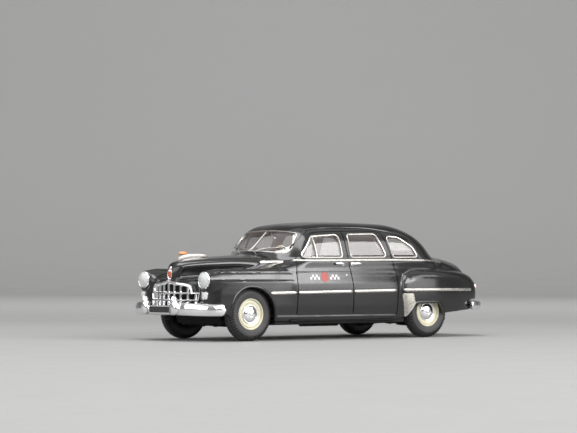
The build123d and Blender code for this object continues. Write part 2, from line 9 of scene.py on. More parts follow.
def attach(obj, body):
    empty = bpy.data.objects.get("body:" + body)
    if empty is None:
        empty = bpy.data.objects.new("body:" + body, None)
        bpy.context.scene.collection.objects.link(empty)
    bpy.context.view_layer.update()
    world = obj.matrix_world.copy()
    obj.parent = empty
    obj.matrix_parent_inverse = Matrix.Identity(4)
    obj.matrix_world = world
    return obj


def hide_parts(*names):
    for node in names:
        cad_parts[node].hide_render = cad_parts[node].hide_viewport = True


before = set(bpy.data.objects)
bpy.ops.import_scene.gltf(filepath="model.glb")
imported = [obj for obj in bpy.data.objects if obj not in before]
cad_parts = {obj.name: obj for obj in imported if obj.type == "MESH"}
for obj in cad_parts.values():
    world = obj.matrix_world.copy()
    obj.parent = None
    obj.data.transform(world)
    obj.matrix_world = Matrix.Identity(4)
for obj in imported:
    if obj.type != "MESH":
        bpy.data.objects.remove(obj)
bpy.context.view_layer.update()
MM = 0.001

# ---------------------------------------------------------------- smooth tables
class Curve:
    """A short table of points, joined and rounded off over about `soft` millimetres."""

    def __init__(self, pts, soft=1.5, step=0.1):
        pts = sorted(pts)
        px = np.array([p[0] for p in pts], float)
        py = np.array([p[1] for p in pts], float)
        pad = 6 * soft + 5
        s0 = (py[1] - py[0]) / (px[1] - px[0])
        s1 = (py[-1] - py[-2]) / (px[-1] - px[-2])
        px = np.concatenate([[px[0] - pad], px, [px[-1] + pad]])
        py = np.concatenate([[py[0] - s0 * pad], py, [py[-1] + s1 * pad]])
        self.t = np.arange(px[0], px[-1], step)
        v = np.interp(self.t, px, py)
        n = int(4 * soft / step)
        k = np.exp(-0.5 * (np.arange(-n, n + 1) * step / soft) ** 2)
        w = np.convolve(np.pad(v, n, mode="reflect", reflect_type="odd"), k / k.sum(), mode="valid")
        self.v = w

    def __call__(self, x):
        return np.interp(x, self.t, self.v)


def smin(a, b, k):
    h = np.maximum(k - np.abs(a - b), 0.0) / k
    return np.minimum(a, b) - h * h * k * 0.25


def smax(a, b, k):
    h = np.maximum(k - np.abs(a - b), 0.0) / k
    return np.maximum(a, b) + h * h * k * 0.25


def step01(t):
    t = np.clip(t, 0.0, 1.0)
    return t * t * (3 - 2 * t)


# ---------------------------------------------------------------- shape of the casting, millimetres
# half width of the lower body along x, and how the side leans with height
TUB_W = Curve([(-66, 9.4), (-61, 11.6), (-57, 13.2), (-52, 14.9), (-46, 16.5), (-40, 17.8), (-34, 18.9), (-28, 19.9), (-24, 20.5), (-21, 20.95), (-17, 21.2),
               (-5, 21.3), (10, 21.3), (22, 21.2), (36, 21.0), (45, 20.7), (50, 20.4), (54, 19.9), (60, 18.8)], 2.0)
SIDE_P = Curve([(2, -2.3), (5, -1.4), (7.5, -0.75), (11, -0.2), (15, 0.0), (17, -0.04), (18.5, -0.22), (21.2, -0.90), (22.1, -1.0),
                (25.6, -1.85), (29, -2.9)], 0.4)
# top of the lower body (valley beside the bonnet, belt, boot sides)
TUB_Z = Curve([(-66, 12.5), (-62, 16.5), (-58, 19.6), (-54, 21.8), (-48, 24.0), (-42, 25.3), (-36, 25.7), (-20, 25.8),
               (10, 25.8), (20, 25.7), (24, 25.3), (28, 24.5), (32, 23.2), (36, 22.0), (42, 20.9), (50, 20.2), (58, 19.8)], 2.0)
TUB_BOTTOM = Curve([(-64, 10.6), (-54, 9.1), (-40, 8.1), (-24, 6.9), (-20, 6.3), (0, 6.15), (24, 6.15), (33, 6.3), (47, 6.8), (50, 8.0), (54, 9.6), (60, 10.2)], 0.8)
# front wing
WING_Z = Curve([(18, 22.3), (24, 22.7), (30, 22.85), (40, 22.85), (50, 22.6), (57, 22.2)], 2.0)
WING_YI = Curve([(18, 19.0), (24, 17.4), (30, 16.2), (40, 14.6), (50, 13.2), (57, 12.5)], 2.0)
# bonnet
HOOD_W = Curve([(20, 14.6), (26, 12.9), (30, 11.8), (35, 10.4), (40, 8.9), (45, 7.4), (50, 5.8), (54, 4.4), (57, 3.3), (60, 2.3)], 1.5)
HOOD_Z = Curve([(18, 28.0), (28, 27.5), (40.6, 26.75), (50.6, 25.85), (55.0, 25.3), (57.0, 24.75), (58.4, 23.7), (60.0, 21.5)], 0.8)
# cabin, by height: front x on the centre line, rear x, half width, rear corner radius
CAB_XF = Curve([(23, 33.0), (27.5, 28.0), (30.4, 24.7), (33.4, 21.5), (35.3, 19.9), (39, 16.9)], 0.6)
CAB_XR = Curve([(23, -46.4), (25.5, -43.2), (27.0, -41.2), (28.7, -40.2), (30.6, -38.9), (32.7, -37.3), (34.7, -34.8), (36, -32.4), (39, -26.0)], 0.9)
CAB_W = Curve([(23, 20.4), (25.6, 19.7), (27.6, 19.1), (30, 18.15), (32, 17.25), (34, 16.25), (36, 15.1), (39, 13.0)], 0.8)
CAB_RR = Curve([(23, 14.0), (28, 13.0), (34, 11.0), (39, 9.0)], 1.0)
ROOF_Z = Curve([(26, 33.5), (20, 35.7), (17, 36.7), (13.8, 37.45), (6, 38.05), (-7, 38.18), (-20, 37.92), (-26.5, 37.4), (-31, 36.6), (-36, 35.0), (-44, 30)], 2.0)
# boot
BOOT_W = Curve([(-30, 17.0), (-40, 16.4), (-48, 15.2), (-56, 13.6), (-63, 11.6)], 2.0)
BOOT_Z = Curve([(-30, 28.6), (-40, 28.0), (-45, 27.4), (-51, 26.3), (-55, 25.25), (-58, 23.8), (-60.2, 21.2), (-62.2, 16.8)], 1.4)
# rear wing: side outline (x, z) and how far it stands out along x
RWING_OUT = np.array([(-24.2, 4.0), (-23.2, 7.0), (-21.6, 12.5), (-20.8, 15.9), (-21.1, 18.4), (-22.3, 20.6), (-24.8, 22.0), (-29, 22.6), (-35, 22.6),
                      (-42, 22.35), (-48, 22.0), (-52.5, 21.5), (-55.8, 20.6), (-58.3, 19.0), (-59.5, 16.8), (-59.7, 14.5), (-59.7, 11.0), (-59.2, 4.0)], float)
RWING_Y = Curve([(-19, 21.75), (-24, 22.1), (-30, 22.15), (-36, 22.0), (-42, 21.4), (-48, 20.3), (-54, 18.5), (-58, 16.9), (-62, 15.0)], 1.5)
NOSE_X0, LAMP = 58.0, (57.0, 16.0, 19.2, 2.95)


def polygon_distance(px, pz, poly):
    """Signed distance in a side view to a closed outline; negative inside."""
    best = np.full(np.broadcast(px, pz).shape, 1e9)
    inside = np.zeros(best.shape, bool)
    for i in range(len(poly)):
        ax, az = poly[i]
        bx, bz = poly[(i + 1) % len(poly)]
        ex, ez = bx - ax, bz - az
        t = np.clip(((px - ax) * ex + (pz - az) * ez) / (ex * ex + ez * ez), 0, 1)
        best = np.minimum(best, (px - ax - t * ex) ** 2 + (pz - az - t * ez) ** 2)
        cross = ((az > pz) != (bz > pz)) & (px < (bx - ax) * (pz - az) / (bz - az + 1e-12) + ax)
        inside ^= cross
    d = np.sqrt(best)
    return np.where(inside, -d, d)


def field(x, y, z, bottom=True):
    """Negative inside the casting, roughly a distance in millimetres."""
    y = np.abs(y)
    lean = SIDE_P(z)
    # lower body
    sill = 0.22 * step01((7.95 - z) / 0.35) * step01((32.0 - x) / 0.5) * step01((x + 21.0) / 0.5)
    crease = 0.09 * np.exp(-((z - 21.5) / 0.34) ** 2) * step01((23.6 - x) / 0.4) * step01((x + 20.0) / 3.0)
    side = y - (TUB_W(x) + lean + sill - crease)
    front = x - (NOSE_X0 - 0.0125 * y * y - 0.02 * np.maximum(z - 12, 0))
    rear = (-60.75 + 0.016 * y * y + 0.012 * (z - 13.0) ** 2) - x
    tub = smax(side + 1.0 * step01((x - 23.9) / 6.0), z - TUB_Z(x), 2.4)
    tub = smax(tub, front, 2.0)
    tub = smax(tub, rear, 4.0)
    # front wings, with the lamp housings and the rib along their flanks
    rib = step01((x - 24.0) / 0.4) * step01((56.6 - x) / 2.4)
    hollow = (0.4 + 0.6 * step01((x - 26.0) / 10.0)) * (0.30 * step01((19.45 - z) / 0.45) + 0.18 * step01((19.2 - z) / 2.2))
    flank = side + rib * (hollow * step01((z - 8.5) / 8.0) + 0.26 * np.exp(-((z - 21.55) / 0.27) ** 2))
    wing = smax(flank, z - WING_Z(x) + 0.03 * np.maximum(y - 17.5, 0) ** 2, 1.6)
    wing = smax(wing, WING_YI(x) - y, 3.4)
    wing = smax(wing, x - (57.3 - 0.03 * (z - 16) ** 2 * (z > 16)), 4.6)
    wing = smax(wing, 20.0 - x, 1.0)
    ly, lz = y - LAMP[1], z - LAMP[2]
    pod = smax(np.sqrt(ly * ly + lz * lz) - (LAMP[3] + 0.05 * np.clip(LAMP[0] - x, 0, 5) - 0.10 * np.maximum(LAMP[0] - 5 - x, 0)), np.maximum(x - LAMP[0], 44 - x), 0.5)
    wing = smin(wing, pod, 1.4)
    # bonnet with its prow
    hood = smax(y - HOOD_W(x) + 0.18 * step01((x - 30.0) / 9.0) * np.clip(HOOD_Z(x) - 1.4 - z, 0, 4.0), z - HOOD_Z(x) + 0.012 * y * y, 2.4)
    prow = x - (58.75 - 0.055 * y * y - 0.035 * np.maximum(22.2 - z, 0) ** 2)
    hood = smax(hood, prow, 2.2)
    hood = smax(hood, 17.6 - z, 0.8)
    hood = smax(hood, 22.0 - x, 1.0)
    # cabin
    hw, rr = CAB_W(z), CAB_RR(z)
    qx, qy = CAB_XR(z) + rr - x, y - (hw - rr)
    ax, ay = np.maximum(qx, 0), np.maximum(qy, 0)
    plan = (ax ** 2.25 + ay ** 2.25) ** (1 / 2.25) + np.minimum(np.maximum(qx, qy), 0) - rr
    up = np.clip((z - 27.8) / 6.7, -0.4, 1.3)
    screen = (x - (CAB_XF(z) - (0.135 - 0.065 * up) * np.sqrt(y * y + 0.4) - (0.0155 - 0.0095 * up) * y * y)) * 0.7
    cab = smax(plan + 1.3 * step01((25.4 - z) / 3.0), z - (ROOF_Z(x) - 0.0046 * y * y), 5.0)
    cab = smax(cab, screen, 2.4)
    cab = smax(cab, 21.5 - z, 0.6)
    # boot
    boot = smax(y - BOOT_W(x), (z - BOOT_Z(x) + 0.010 * y * y) * 0.85, 6.0)
    boot = smax(boot, rear, 3.0)
    boot = smax(boot, x + 32.0, 1.0)
    # rear wings
    out = polygon_distance(x, z, RWING_OUT)
    soft = 1.3 + 2.2 * step01((-21.6 - x) / 3.0)
    rwing = smax(out, y - (RWING_Y(x) - 0.014 * np.maximum(z - 15.0, 0) ** 2 - 0.008 * np.maximum(15.0 - z, 0) ** 2), soft)
    rwing = smax(rwing, 8.0 - y, 1.0)

    d = smin(tub, cab, 1.3)
    d = smin(d, hood, 0.9 + 2.2 * step01((34.0 - x) / 8.0))
    d = smin(d, wing, 0.08 + 1.7 * step01((x - 23.9) / 10.0))
    d = smin(d, boot, 2.4)
    d = smin(d, rwing, 0.7)
    # step round the lower tail that the rear bumper wraps
    core = np.maximum(y - (RWING_Y(x) - 2.6), -57.6 - x)
    d = smax(d, -np.maximum(np.maximum(x + 52.2, z - 12.5), np.maximum(9.7 - z, -core)), 0.4)
    if bottom:
        d = np.maximum(d, TUB_BOTTOM(x) - z)
    return d


def gradient(p, h=0.06, bottom=False):
    x, y, z = p.T
    g = np.stack([
        field(x + h, y, z, bottom) - field(x - h, y, z, bottom),
        field(x, y + h, z, bottom) - field(x, y - h, z, bottom),
        field(x, y, z + h, bottom) - field(x, y, z - h, bottom)], 1) / (2 * h)
    return g


def surface_net(values, origin, h):
    """Quads of the zero surface of a grid of values."""
    nx, ny, nz = values.shape
    neg = values < 0
    corners = [(i, j, k) for i in (0, 1) for j in (0, 1) for k in (0, 1)]
    count = sum(neg[i:nx - 1 + i, j:ny - 1 + j, k:nz - 1 + k].astype(np.int8) for i, j, k in corners)
    active = (count > 0) & (count < 8)
    cells = np.argwhere(active)
    index = np.full(active.shape, -1, np.int64)
    index[active] = np.arange(len(cells))
    total = np.zeros((len(cells), 3))
    hits = np.zeros(len(cells))
    base = cells
    for a in corners:
        for axis in range(3):
            if a[axis]:
                continue
            b = list(a)
            b[axis] = 1
            va = values[tuple((base + a).T)]
            vb = values[tuple((base + b).T)]
            m = (va < 0) != (vb < 0)
            t = va[m] / (va[m] - vb[m])
            pos = np.tile(np.array(a, float), (m.sum(), 1))
            pos[:, axis] = t
            total[m] += pos
            hits[m] += 1
    verts = (base + total / hits[:, None]) * h + origin
    faces = []
    for axis in range(3):
        u, v = (axis + 1) % 3, (axis + 2) % 3
        sl_a = [slice(None)] * 3
        sl_b = [slice(None)] * 3
        sl_a[axis], sl_b[axis] = slice(0, -1), slice(1, None)
        a, b = neg[tuple(sl_a)], neg[tuple(sl_b)]
        cross = np.argwhere(a != b)
        lim = np.array(values.shape) - 1
        ok = (cross[:, u] > 0) & (cross[:, v] > 0) & (cross[:, u] < lim[u]) & (cross[:, v] < lim[v])
        cross = cross[ok]
        flip = a[tuple(cross.T)]
        quad = []
        for du, dv in ((0, 0), (-1, 0), (-1, -1), (0, -1)):
            c = cross.copy()
            c[:, u] += du
            c[:, v] += dv
            quad.append(index[tuple(c.T)])
        quad = np.stack(quad, 1)
        quad[flip] = quad[flip][:, ::-1]
        faces.append(quad)
    faces = np.concatenate(faces)
    return verts, faces[(faces >= 0).all(1)][:, ::-1]


def mesh_object(name, verts_mm, faces, smooth=True):
    me = bpy.data.meshes.new(name)
    v = np.asarray(verts_mm, float) * MM
    me.from_pydata(v.tolist(), [], [list(map(int, f)) for f in faces])
    me.update()
    if smooth:
        me.polygons.foreach_set("use_smooth", np.ones(len(me.polygons), bool))
    ob = bpy.data.objects.new(name, me)
    bpy.context.collection.objects.link(ob)
    return ob


STEP = 0.45
lo, hi = np.array([-63.5, -23.2, 5.0]), np.array([61.0, 23.2, 39.4])
n = np.ceil((hi - lo) / STEP).astype(int) + 1
gx = (lo[0] + STEP * np.arange(n[0]))[:, None, None]
gy = ((np.arange(n[1]) - (n[1] - 1) / 2) * STEP)[None, :, None]
gz = (lo[2] + STEP * np.arange(n[2]))[None, None, :]
grid = np.broadcast_to(field(gx, gy, gz), n).copy()
verts, quads = surface_net(grid, np.array([lo[0], gy[0, 0, 0], lo[2]]), STEP)
for _ in range(3):
    f = field(*verts.T, False)
    g = gradient(verts)
    g2 = np.maximum((g * g).sum(1), 0.05)
    move = -(f / g2)[:, None] * g
    size = np.linalg.norm(move, axis=1)
    move *= np.minimum(1.0, 0.3 / np.maximum(size, 1e-9))[:, None]
    keep = verts[:, 2] < TUB_BOTTOM(verts[:, 0]) + 0.25
    move[keep] *= 0
    verts = verts + move
# ---------------------------------------------------------------- points on the skin
def march(start, direction, length, n=90):
    """First point on the skin along parallel rays; start is (k, 3), direction one vector."""
    start = np.asarray(start, float)
    direction = np.asarray(direction, float)
    ts = np.linspace(0, length, n)
    lo_t = np.zeros(len(start))
    hi_t = np.full(len(start), float(length))
    done = np.zeros(len(start), bool)
    for t0, t1 in zip(ts, ts[1:]):
        p = start + direction * t1
        hit = (field(*p.T, False) < 0) & ~done
        lo_t[hit], hi_t[hit] = t0, t1
        done |= hit
        if done.all():
            break
    for _ in range(18):
        mid = (lo_t + hi_t) / 2
        p = start + direction * mid[:, None]
        inside = field(*p.T, False) < 0
        hi_t = np.where(inside, mid, hi_t)
        lo_t = np.where(inside, lo_t, mid)
    return start + direction * ((lo_t + hi_t) / 2)[:, None]


def on_side(xz, sign=1):
    xz = np.asarray(xz, float)
    p = march(np.stack([xz[:, 0], np.full(len(xz), 24.0), xz[:, 1]], 1), (0, -1, 0), 20.0)
    p[:, 1] *= sign
    return p


def on_front(yz, x0=31.0):
    yz = np.asarray(yz, float)
    return march(np.stack([np.full(len(yz), x0), yz[:, 0], yz[:, 1]], 1), (-1, 0, 0), 24.0)


def on_rear(yz, x0=-58.0):
    yz = np.asarray(yz, float)
    return march(np.stack([np.full(len(yz), x0), yz[:, 0], yz[:, 1]], 1), (1, 0, 0), 36.0)


def on_top(xy, z0=40.0):
    xy = np.asarray(xy, float)
    return march(np.stack([xy[:, 0], xy[:, 1], np.full(len(xy), z0)], 1), (0, 0, -1), 34.0, 160)


def normals_at(p):
    g = gradient(p)
    return g / np.maximum(np.linalg.norm(g, axis=1), 1e-9)[:, None]


# ---------------------------------------------------------------- outlines
def rounded(points, radius, n=7):
    """Closed outline with round corners; radius may be one number or one per corner."""
    pts = np.asarray(points, float)
    k = len(pts)
    rad = [radius] * k if np.isscalar(radius) else radius
    out = []
    for i in range(k):
        p, a, b = pts[i], pts[i - 1], pts[(i + 1) % k]
        u, v = (a - p), (b - p)
        lu, lv = np.linalg.norm(u), np.linalg.norm(v)
        u, v = u / lu, v / lv
        half = math.acos(np.clip(u @ v, -1, 1)) / 2
        d = min(rad[i] / math.tan(half), 0.48 * lu, 0.48 * lv)
        r = d * math.tan(half)
        c = p + (u + v) / np.linalg.norm(u + v) * (r / math.sin(half))
        p0, p1 = p + u * d, p + v * d
        a0 = math.atan2(*(p0 - c)[::-1])
        a1 = math.atan2(*(p1 - c)[::-1])
        da = (a1 - a0 + math.pi) % (2 * math.pi) - math.pi
        for t in np.linspace(0, 1, n):
            out.append(c + r * np.array([math.cos(a0 + da * t), math.sin(a0 + da * t)]))
    return np.array(out)


def resample(path, step, closed=False):
    p = np.asarray(path, float)
    if closed:
        p = np.vstack([p, p[:1]])
    d = np.concatenate([[0], np.cumsum(np.linalg.norm(np.diff(p, axis=0), axis=1))])
    keep = np.concatenate([[True], np.diff(d) > 1e-9])
    p, d = p[keep], d[keep]
    n = max(2, int(round(d[-1] / step)) + 1)
    t = np.linspace(0, d[-1], n)
    q = np.stack([np.interp(t, d, p[:, i]) for i in range(p.shape[1])], 1)
    return q[:-1] if closed else q


def inward(loop, amount):
    """Closed flat outline moved inwards."""
    p = np.asarray(loop, float)
    t = np.roll(p, -1, 0) - np.roll(p, 1, 0)
    t /= np.linalg.norm(t, axis=1)[:, None]
    nrm = np.stack([-t[:, 1], t[:, 0]], 1)
    area2 = np.sum(p[:, 0] * np.roll(p[:, 1], -1) - np.roll(p[:, 0], -1) * p[:, 1])
    if area2 < 0:
        nrm = -nrm
    return p + nrm * amount


def smooth_path(points, n=60, closed=False):
    """Catmull-Rom through given points, evenly resampled."""
    p = np.asarray(points, float)
    if closed:
        q = np.vstack([p[-1:], p, p[:2]])
    else:
        q = np.vstack([2 * p[0] - p[1], p, 2 * p[-1] - p[-2]])
    out = []
    for i in range(1, len(q) - 2):
        p0, p1, p2, p3 = q[i - 1:i + 3]
        for t in np.linspace(0, 1, 16, endpoint=False):
            out.append(0.5 * ((2 * p1) + (p2 - p0) * t + (2 * p0 - 5 * p1 + 4 * p2 - p3) * t * t + (3 * p1 - p0 - 3 * p2 + p3) * t ** 3))
    if not closed:
        out.append(q[-2])
    out = np.array(out)
    total = np.linalg.norm(np.diff(out, axis=0), axis=1).sum()
    return resample(out, total / n, closed)


# ---------------------------------------------------------------- meshes from rings
class Build:
    """Collects vertices and faces in millimetres."""

    def __init__(self):
        self.v, self.f = [], []

    def add(self, verts, faces):
        o = len(self.v)
        self.v.extend(np.asarray(verts, float).tolist())
        self.f.extend([[o + i for i in f] for f in faces])

    def rings(self, rings, closed_ring=True, closed_path=False, caps=True):
        """Skin between successive rings of equal length."""
        rings = [np.asarray(r, float) for r in rings]
        m, k = len(rings), len(rings[0])
        faces = []
        for i in range(m if closed_path else m - 1):
            j = (i + 1) % m
            for a in range(k if closed_ring else k - 1):
                b = (a + 1) % k
                faces.append([i * k + a, i * k + b, j * k + b, j * k + a])
        if caps and not closed_path and closed_ring:
            faces.append(list(range(k))[::-1])
            faces.append([(m - 1) * k + a for a in range(k)])
        self.add(np.vstack(rings), faces)

    def mirror_y(self):
        n = len(self.v)
        self.v.extend([[a, -b, c] for a, b, c in self.v[:n]])
        self.f.extend([[n + i for i in reversed(f)] for f in list(self.f)])

    def object(self, name, smooth=True, angle=35.0):
        ob = mesh_object(name, self.v, self.f, smooth)
        bm = bmesh.new()
        bm.from_mesh(ob.data)
        bmesh.ops.recalc_face_normals(bm, faces=bm.faces)
        bm.to_mesh(ob.data)
        bm.free()
        if smooth:
            ob.data.set_sharp_from_angle(angle=math.radians(angle))
        return ob


def sweep(build, path, normals, profile, closed=False, taper=None):
    """Profile points (across, out) swept along a path that lies on the skin."""
    path, normals = np.asarray(path, float), np.asarray(normals, float)
    if closed:
        t = np.roll(path, -1, 0) - np.roll(path, 1, 0)
    else:
        t = np.gradient(path, axis=0)
    t /= np.linalg.norm(t, axis=1)[:, None]
    across = np.cross(normals, t)
    across /= np.linalg.norm(across, axis=1)[:, None]
    rings = []
    for i in range(len(path)):
        s = 1.0 if taper is None else taper(i / (len(path) - 1))
        rings.append([path[i] + across[i] * a * s + normals[i] * (b * s if b > 0 else b) for a, b in profile])
    build.rings(rings, closed_path=closed)


def cut(ob, cutter, operation="DIFFERENCE"):
    mod = ob.modifiers.new("cut", "BOOLEAN")
    mod.operation, mod.object, mod.solver = operation, cutter, "MANIFOLD"
    dg = bpy.context.evaluated_depsgraph_get()
    me = bpy.data.meshes.new_from_object(ob.evaluated_get(dg))
    ob.modifiers.remove(mod)
    old = ob.data
    ob.data = me
    bpy.data.meshes.remove(old)
    tool = cutter.data
    bpy.data.objects.remove(cutter)
    bpy.data.meshes.remove(tool)
    return ob


def prism(loop, axis, a, b, name="tool"):
    """Flat outline swept along y (outline in x, z) or x (outline in y, z)."""
    loop = np.asarray(loop, float)
    put = (lambda q, d: np.stack([q[:, 0], np.full(len(q), d), q[:, 1]], 1)) if axis == "y" else (lambda q, d: np.stack([np.full(len(q), d), q[:, 0], q[:, 1]], 1))
    bd = Build()
    bd.rings([put(loop, a), put(loop, b)])
    return bd.object(name, smooth=False)


# ---------------------------------------------------------------- openings and shut lines (x, z of the left side; y, z of the screens)
WINDOWS = {
    "front": rounded([(21.2, 26.25), (14.4, 33.5), (2.8, 34.2), (3.3, 26.35)], [1.0, 1.9, 1.4, 1.1]),
    "rear": rounded([(0.2, 26.38), (-0.9, 34.25), (-13.3, 34.5), (-15.9, 26.5)], [1.1, 1.4, 1.6, 1.3]),
    "quarter": rounded([(-18.2, 26.4), (-17.3, 33.85), (-22.8, 33.4), (-27.9, 30.0), (-29.5, 26.5)], [1.0, 1.5, 3.6, 3.2, 0.9]),
}
WINDSCREEN = rounded([(15.5, 27.7), (13.8, 34.4), (9.5, 34.95), (4.5, 35.2), (0.0, 35.25), (-4.5, 35.2), (-9.5, 34.95), (-13.8, 34.4), (-15.5, 27.7),
                      (-10.5, 28.1), (-5.0, 28.4), (0.0, 28.5), (5.0, 28.4), (10.5, 28.1)], [1.5, 1.8, 6, 6, 6, 6, 6, 1.8, 1.5, 6, 6, 6, 6, 6], 7)
REAR_SCREEN = rounded([(10.8, 28.9), (9.2, 33.4), (-9.2, 33.4), (-10.8, 28.9)], [2.0, 2.2, 2.2, 2.0], 9)
FRONT_ARCH = smooth_path([(49.4, 2.0), (49.45, 6.5), (49.0, 10.2), (47.3, 14.2), (44.4, 16.4), (41.4, 16.95), (37.6, 16.2), (34.4, 13.9), (32.7, 10.4), (32.1, 6.5), (31.9, 2.0)], 70)
REAR_ARCH = np.vstack([[(-23.35, 2.0)], rounded([(-23.35, 2.0), (-23.35, 6.9), (-26.35, 11.35), (-37.3, 11.35), (-39.4, 8.0), (-39.5, 2.0)], [0.1, 0.5, 1.6, 1.8, 1.4, 0.1], 6)[6:-6], [(-39.5, 2.0)]])
SHUT = {
    "front_door": [(23.5, 8.25), (23.45, 14), (23.3, 20.5), (22.9, 23.4), (22.2, 25.4), (20.6, 27.2), (17.6, 30.6), (15.4, 33.2), (13.0, 34.45), (7.0, 34.85), (0.9, 35.05)],
    "b_post": [(0.15, 8.25), (0.2, 14), (0.5, 20.0), (1.1, 24.0), (1.25, 26.0), (1.1, 30.0), (0.75, 35.05)],
    "rear_door_top": [(0.6, 35.05), (-6.0, 35.15), (-12.0, 35.1), (-15.9, 34.75)],
    "rear_door": [(-19.05, 7.6), (-19.1, 12.0), (-19.1, 18.0), (-18.9, 21.4), (-18.0, 23.8), (-17.6, 26.0), (-16.9, 30.5), (-15.9, 34.75)],
    "door_bottom": [(23.5, 8.25), (10.0, 8.25), (0.15, 8.25), (-10, 8.2), (-19.05, 8.1)],
}


def groove(path2d, side, width=0.34, depth=0.42, n=70):
    p = on_side(smooth_path(path2d, n), 1)
    nr = normals_at(p)
    bd = Build()
    sweep(bd, p, nr, [(-width / 2, -depth), (width / 2, -depth), (width / 2, 0.5), (-width / 2, 0.5)])
    if side < 0:
        bd.v = [[a, -b, c] for a, b, c in bd.v]
        bd.f = [f[::-1] for f in bd.f]
    return bd.object("tool", smooth=False)


def carve(points, width=0.32, depth=0.40):
    """Groove cutter along points that already lie on the skin."""
    bd = Build()
    sweep(bd, points, normals_at(points), [(-width / 2, -depth), (width / 2, -depth), (width / 2, 0.5), (-width / 2, 0.5)])
    return bd.object("tool", smooth=False)


body = mesh_object("body_casting", verts, quads)
# cavity
CAV = 0.85
n2 = np.ceil((hi - lo + np.array([0, 0, 1.6])) / CAV).astype(int) + 1
cx = (lo[0] + CAV * np.arange(n2[0]))[:, None, None]
cy = ((np.arange(n2[1]) - (n2[1] - 1) / 2) * CAV)[None, :, None]
cz = (lo[2] - 1.6 + CAV * np.arange(n2[2]))[None, None, :]
inner = np.broadcast_to(field(cx, cy, cz, False), n2).copy()
gr = np.gradient(inner, CAV)
inner = inner / np.clip(np.sqrt(gr[0] ** 2 + gr[1] ** 2 + gr[2] ** 2), 0.35, 1.6) + 1.0
inner = np.maximum(inner, 4.3 - np.broadcast_to(cz, n2))
iv, iq = surface_net(inner, np.array([lo[0], cy[0, 0, 0], lo[2] - 1.6]), CAV)
cut(body, mesh_object("tool", iv, iq))
for s in (1, -1):
    a, b = (14.2, 25.0) if s > 0 else (-25.0, -14.2)
    cut(body, prism(FRONT_ARCH, "y", a, b))
    cut(body, prism(REAR_ARCH, "y", a, b))
    a, b = (10.0, 25.0) if s > 0 else (-25.0, -10.0)
    for loop in WINDOWS.values():
        cut(body, prism(loop, "y", a, b))
    for path in SHUT.values():
        cut(body, groove(path, s))
cut(body, prism(WINDSCREEN, "x", 10.0, 34.0))
cut(body, prism(REAR_SCREEN, "x", -56.0, -22.0))
GRILLE_OUT = rounded([(12.2, 15.1), (12.0, 12.0), (11.4, 10.9), (-11.4, 10.9), (-12.0, 12.0), (-12.2, 15.1), (-9.9, 15.4), (-8.9, 17.5), (0.0, 18.5), (8.9, 17.5), (9.9, 15.4)], 0.35, 4)
cut(body, prism(GRILLE_OUT, "x", 54.4, 64.0))
BONNET_EDGE = [(56.4, 10.2), (55.4, 11.4), (53.4, 12.3), (50, 13.0), (45, 13.9), (40, 14.9), (34, 16.1), (29.5, 16.9), (27.6, 16.2), (27.9, 12.5), (28.9, 6.0), (29.2, 0.0)]
half = smooth_path(BONNET_EDGE, 110)
cut(body, carve(on_top(np.vstack([half, (half * [1, -1])[::-1][1:]]))))
BOOT_EDGE = [(-42.9, 0.0), (-43.2, 6.0), (-44.4, 10.4), (-47.5, 12.0), (-52, 11.9), (-56.5, 11.0)]
half = smooth_path(BOOT_EDGE, 70)
cut(body, carve(on_top(np.vstack([(half * [1, -1])[::-1], half[1:]]))))
BOOT_END = [(11.0, 19.2), (10.9, 17.0), (10.4, 14.6), (9.0, 13.0), (5.0, 12.6), (0.0, 12.6)]
half = smooth_path(BOOT_END, 60)
cut(body, carve(on_rear(np.vstack([half, (half * [-1, 1])[::-1][1:]]), -66.0)))


def skin_normals(ob):
    """Shade faces that lie on the skin with the skin's own slope; the cut faces stay flat."""
    me = ob.data
    me.polygons.foreach_set("use_smooth", np.ones(len(me.polygons), bool))
    me.set_sharp_from_angle(angle=math.radians(38))
    co = np.empty(len(me.vertices) * 3)
    me.vertices.foreach_get("co", co)
    co = co.reshape(-1, 3) / MM
    ce = np.empty(len(me.polygons) * 3)
    me.polygons.foreach_get("center", ce)
    ce = ce.reshape(-1, 3) / MM
    nm = np.empty(len(me.polygons) * 3)
    me.polygons.foreach_get("normal", nm)
    nm = nm.reshape(-1, 3)
    gc = gradient(ce)
    lc = np.maximum(np.linalg.norm(gc, axis=1), 1e-6)
    on = (np.abs(field(*ce.T, False) / lc) < 0.05) & (((gc / lc[:, None]) * nm).sum(1) > 0.8)
    vn = normals_at(co)
    lv = np.empty(len(me.loops), np.int64)
    me.loops.foreach_get("vertex_index", lv)
    tot = np.empty(len(me.polygons), np.int64)
    me.polygons.foreach_get("loop_total", tot)
    mask = np.repeat(on, tot)
    ln = np.where(mask[:, None], vn[lv], 0.0)
    me.normals_split_custom_set(ln.tolist())


def tidy(ob):
    """Split the many-sided faces left by the cuts, and drop slivers and doubled faces."""
    bm = bmesh.new()
    bm.from_mesh(ob.data)
    bmesh.ops.dissolve_degenerate(bm, dist=1e-6, edges=bm.edges[:])
    bmesh.ops.triangulate(bm, faces=[f for f in bm.faces if len(f.verts) > 4])
    bm.verts.index_update()
    seen, extra = set(), []
    for f in bm.faces:
        key = frozenset(v.index for v in f.verts)
        if key in seen:
            extra.append(f)
        seen.add(key)
    bmesh.ops.delete(bm, geom=extra, context="FACES_ONLY")
    bm.to_mesh(ob.data)
    bm.free()
    ob.data.validate()


tidy(body)
skin_normals(body)
print("body faces", len(body.data.polygons), "tris", sum(len(p.vertices) - 2 for p in body.data.polygons))

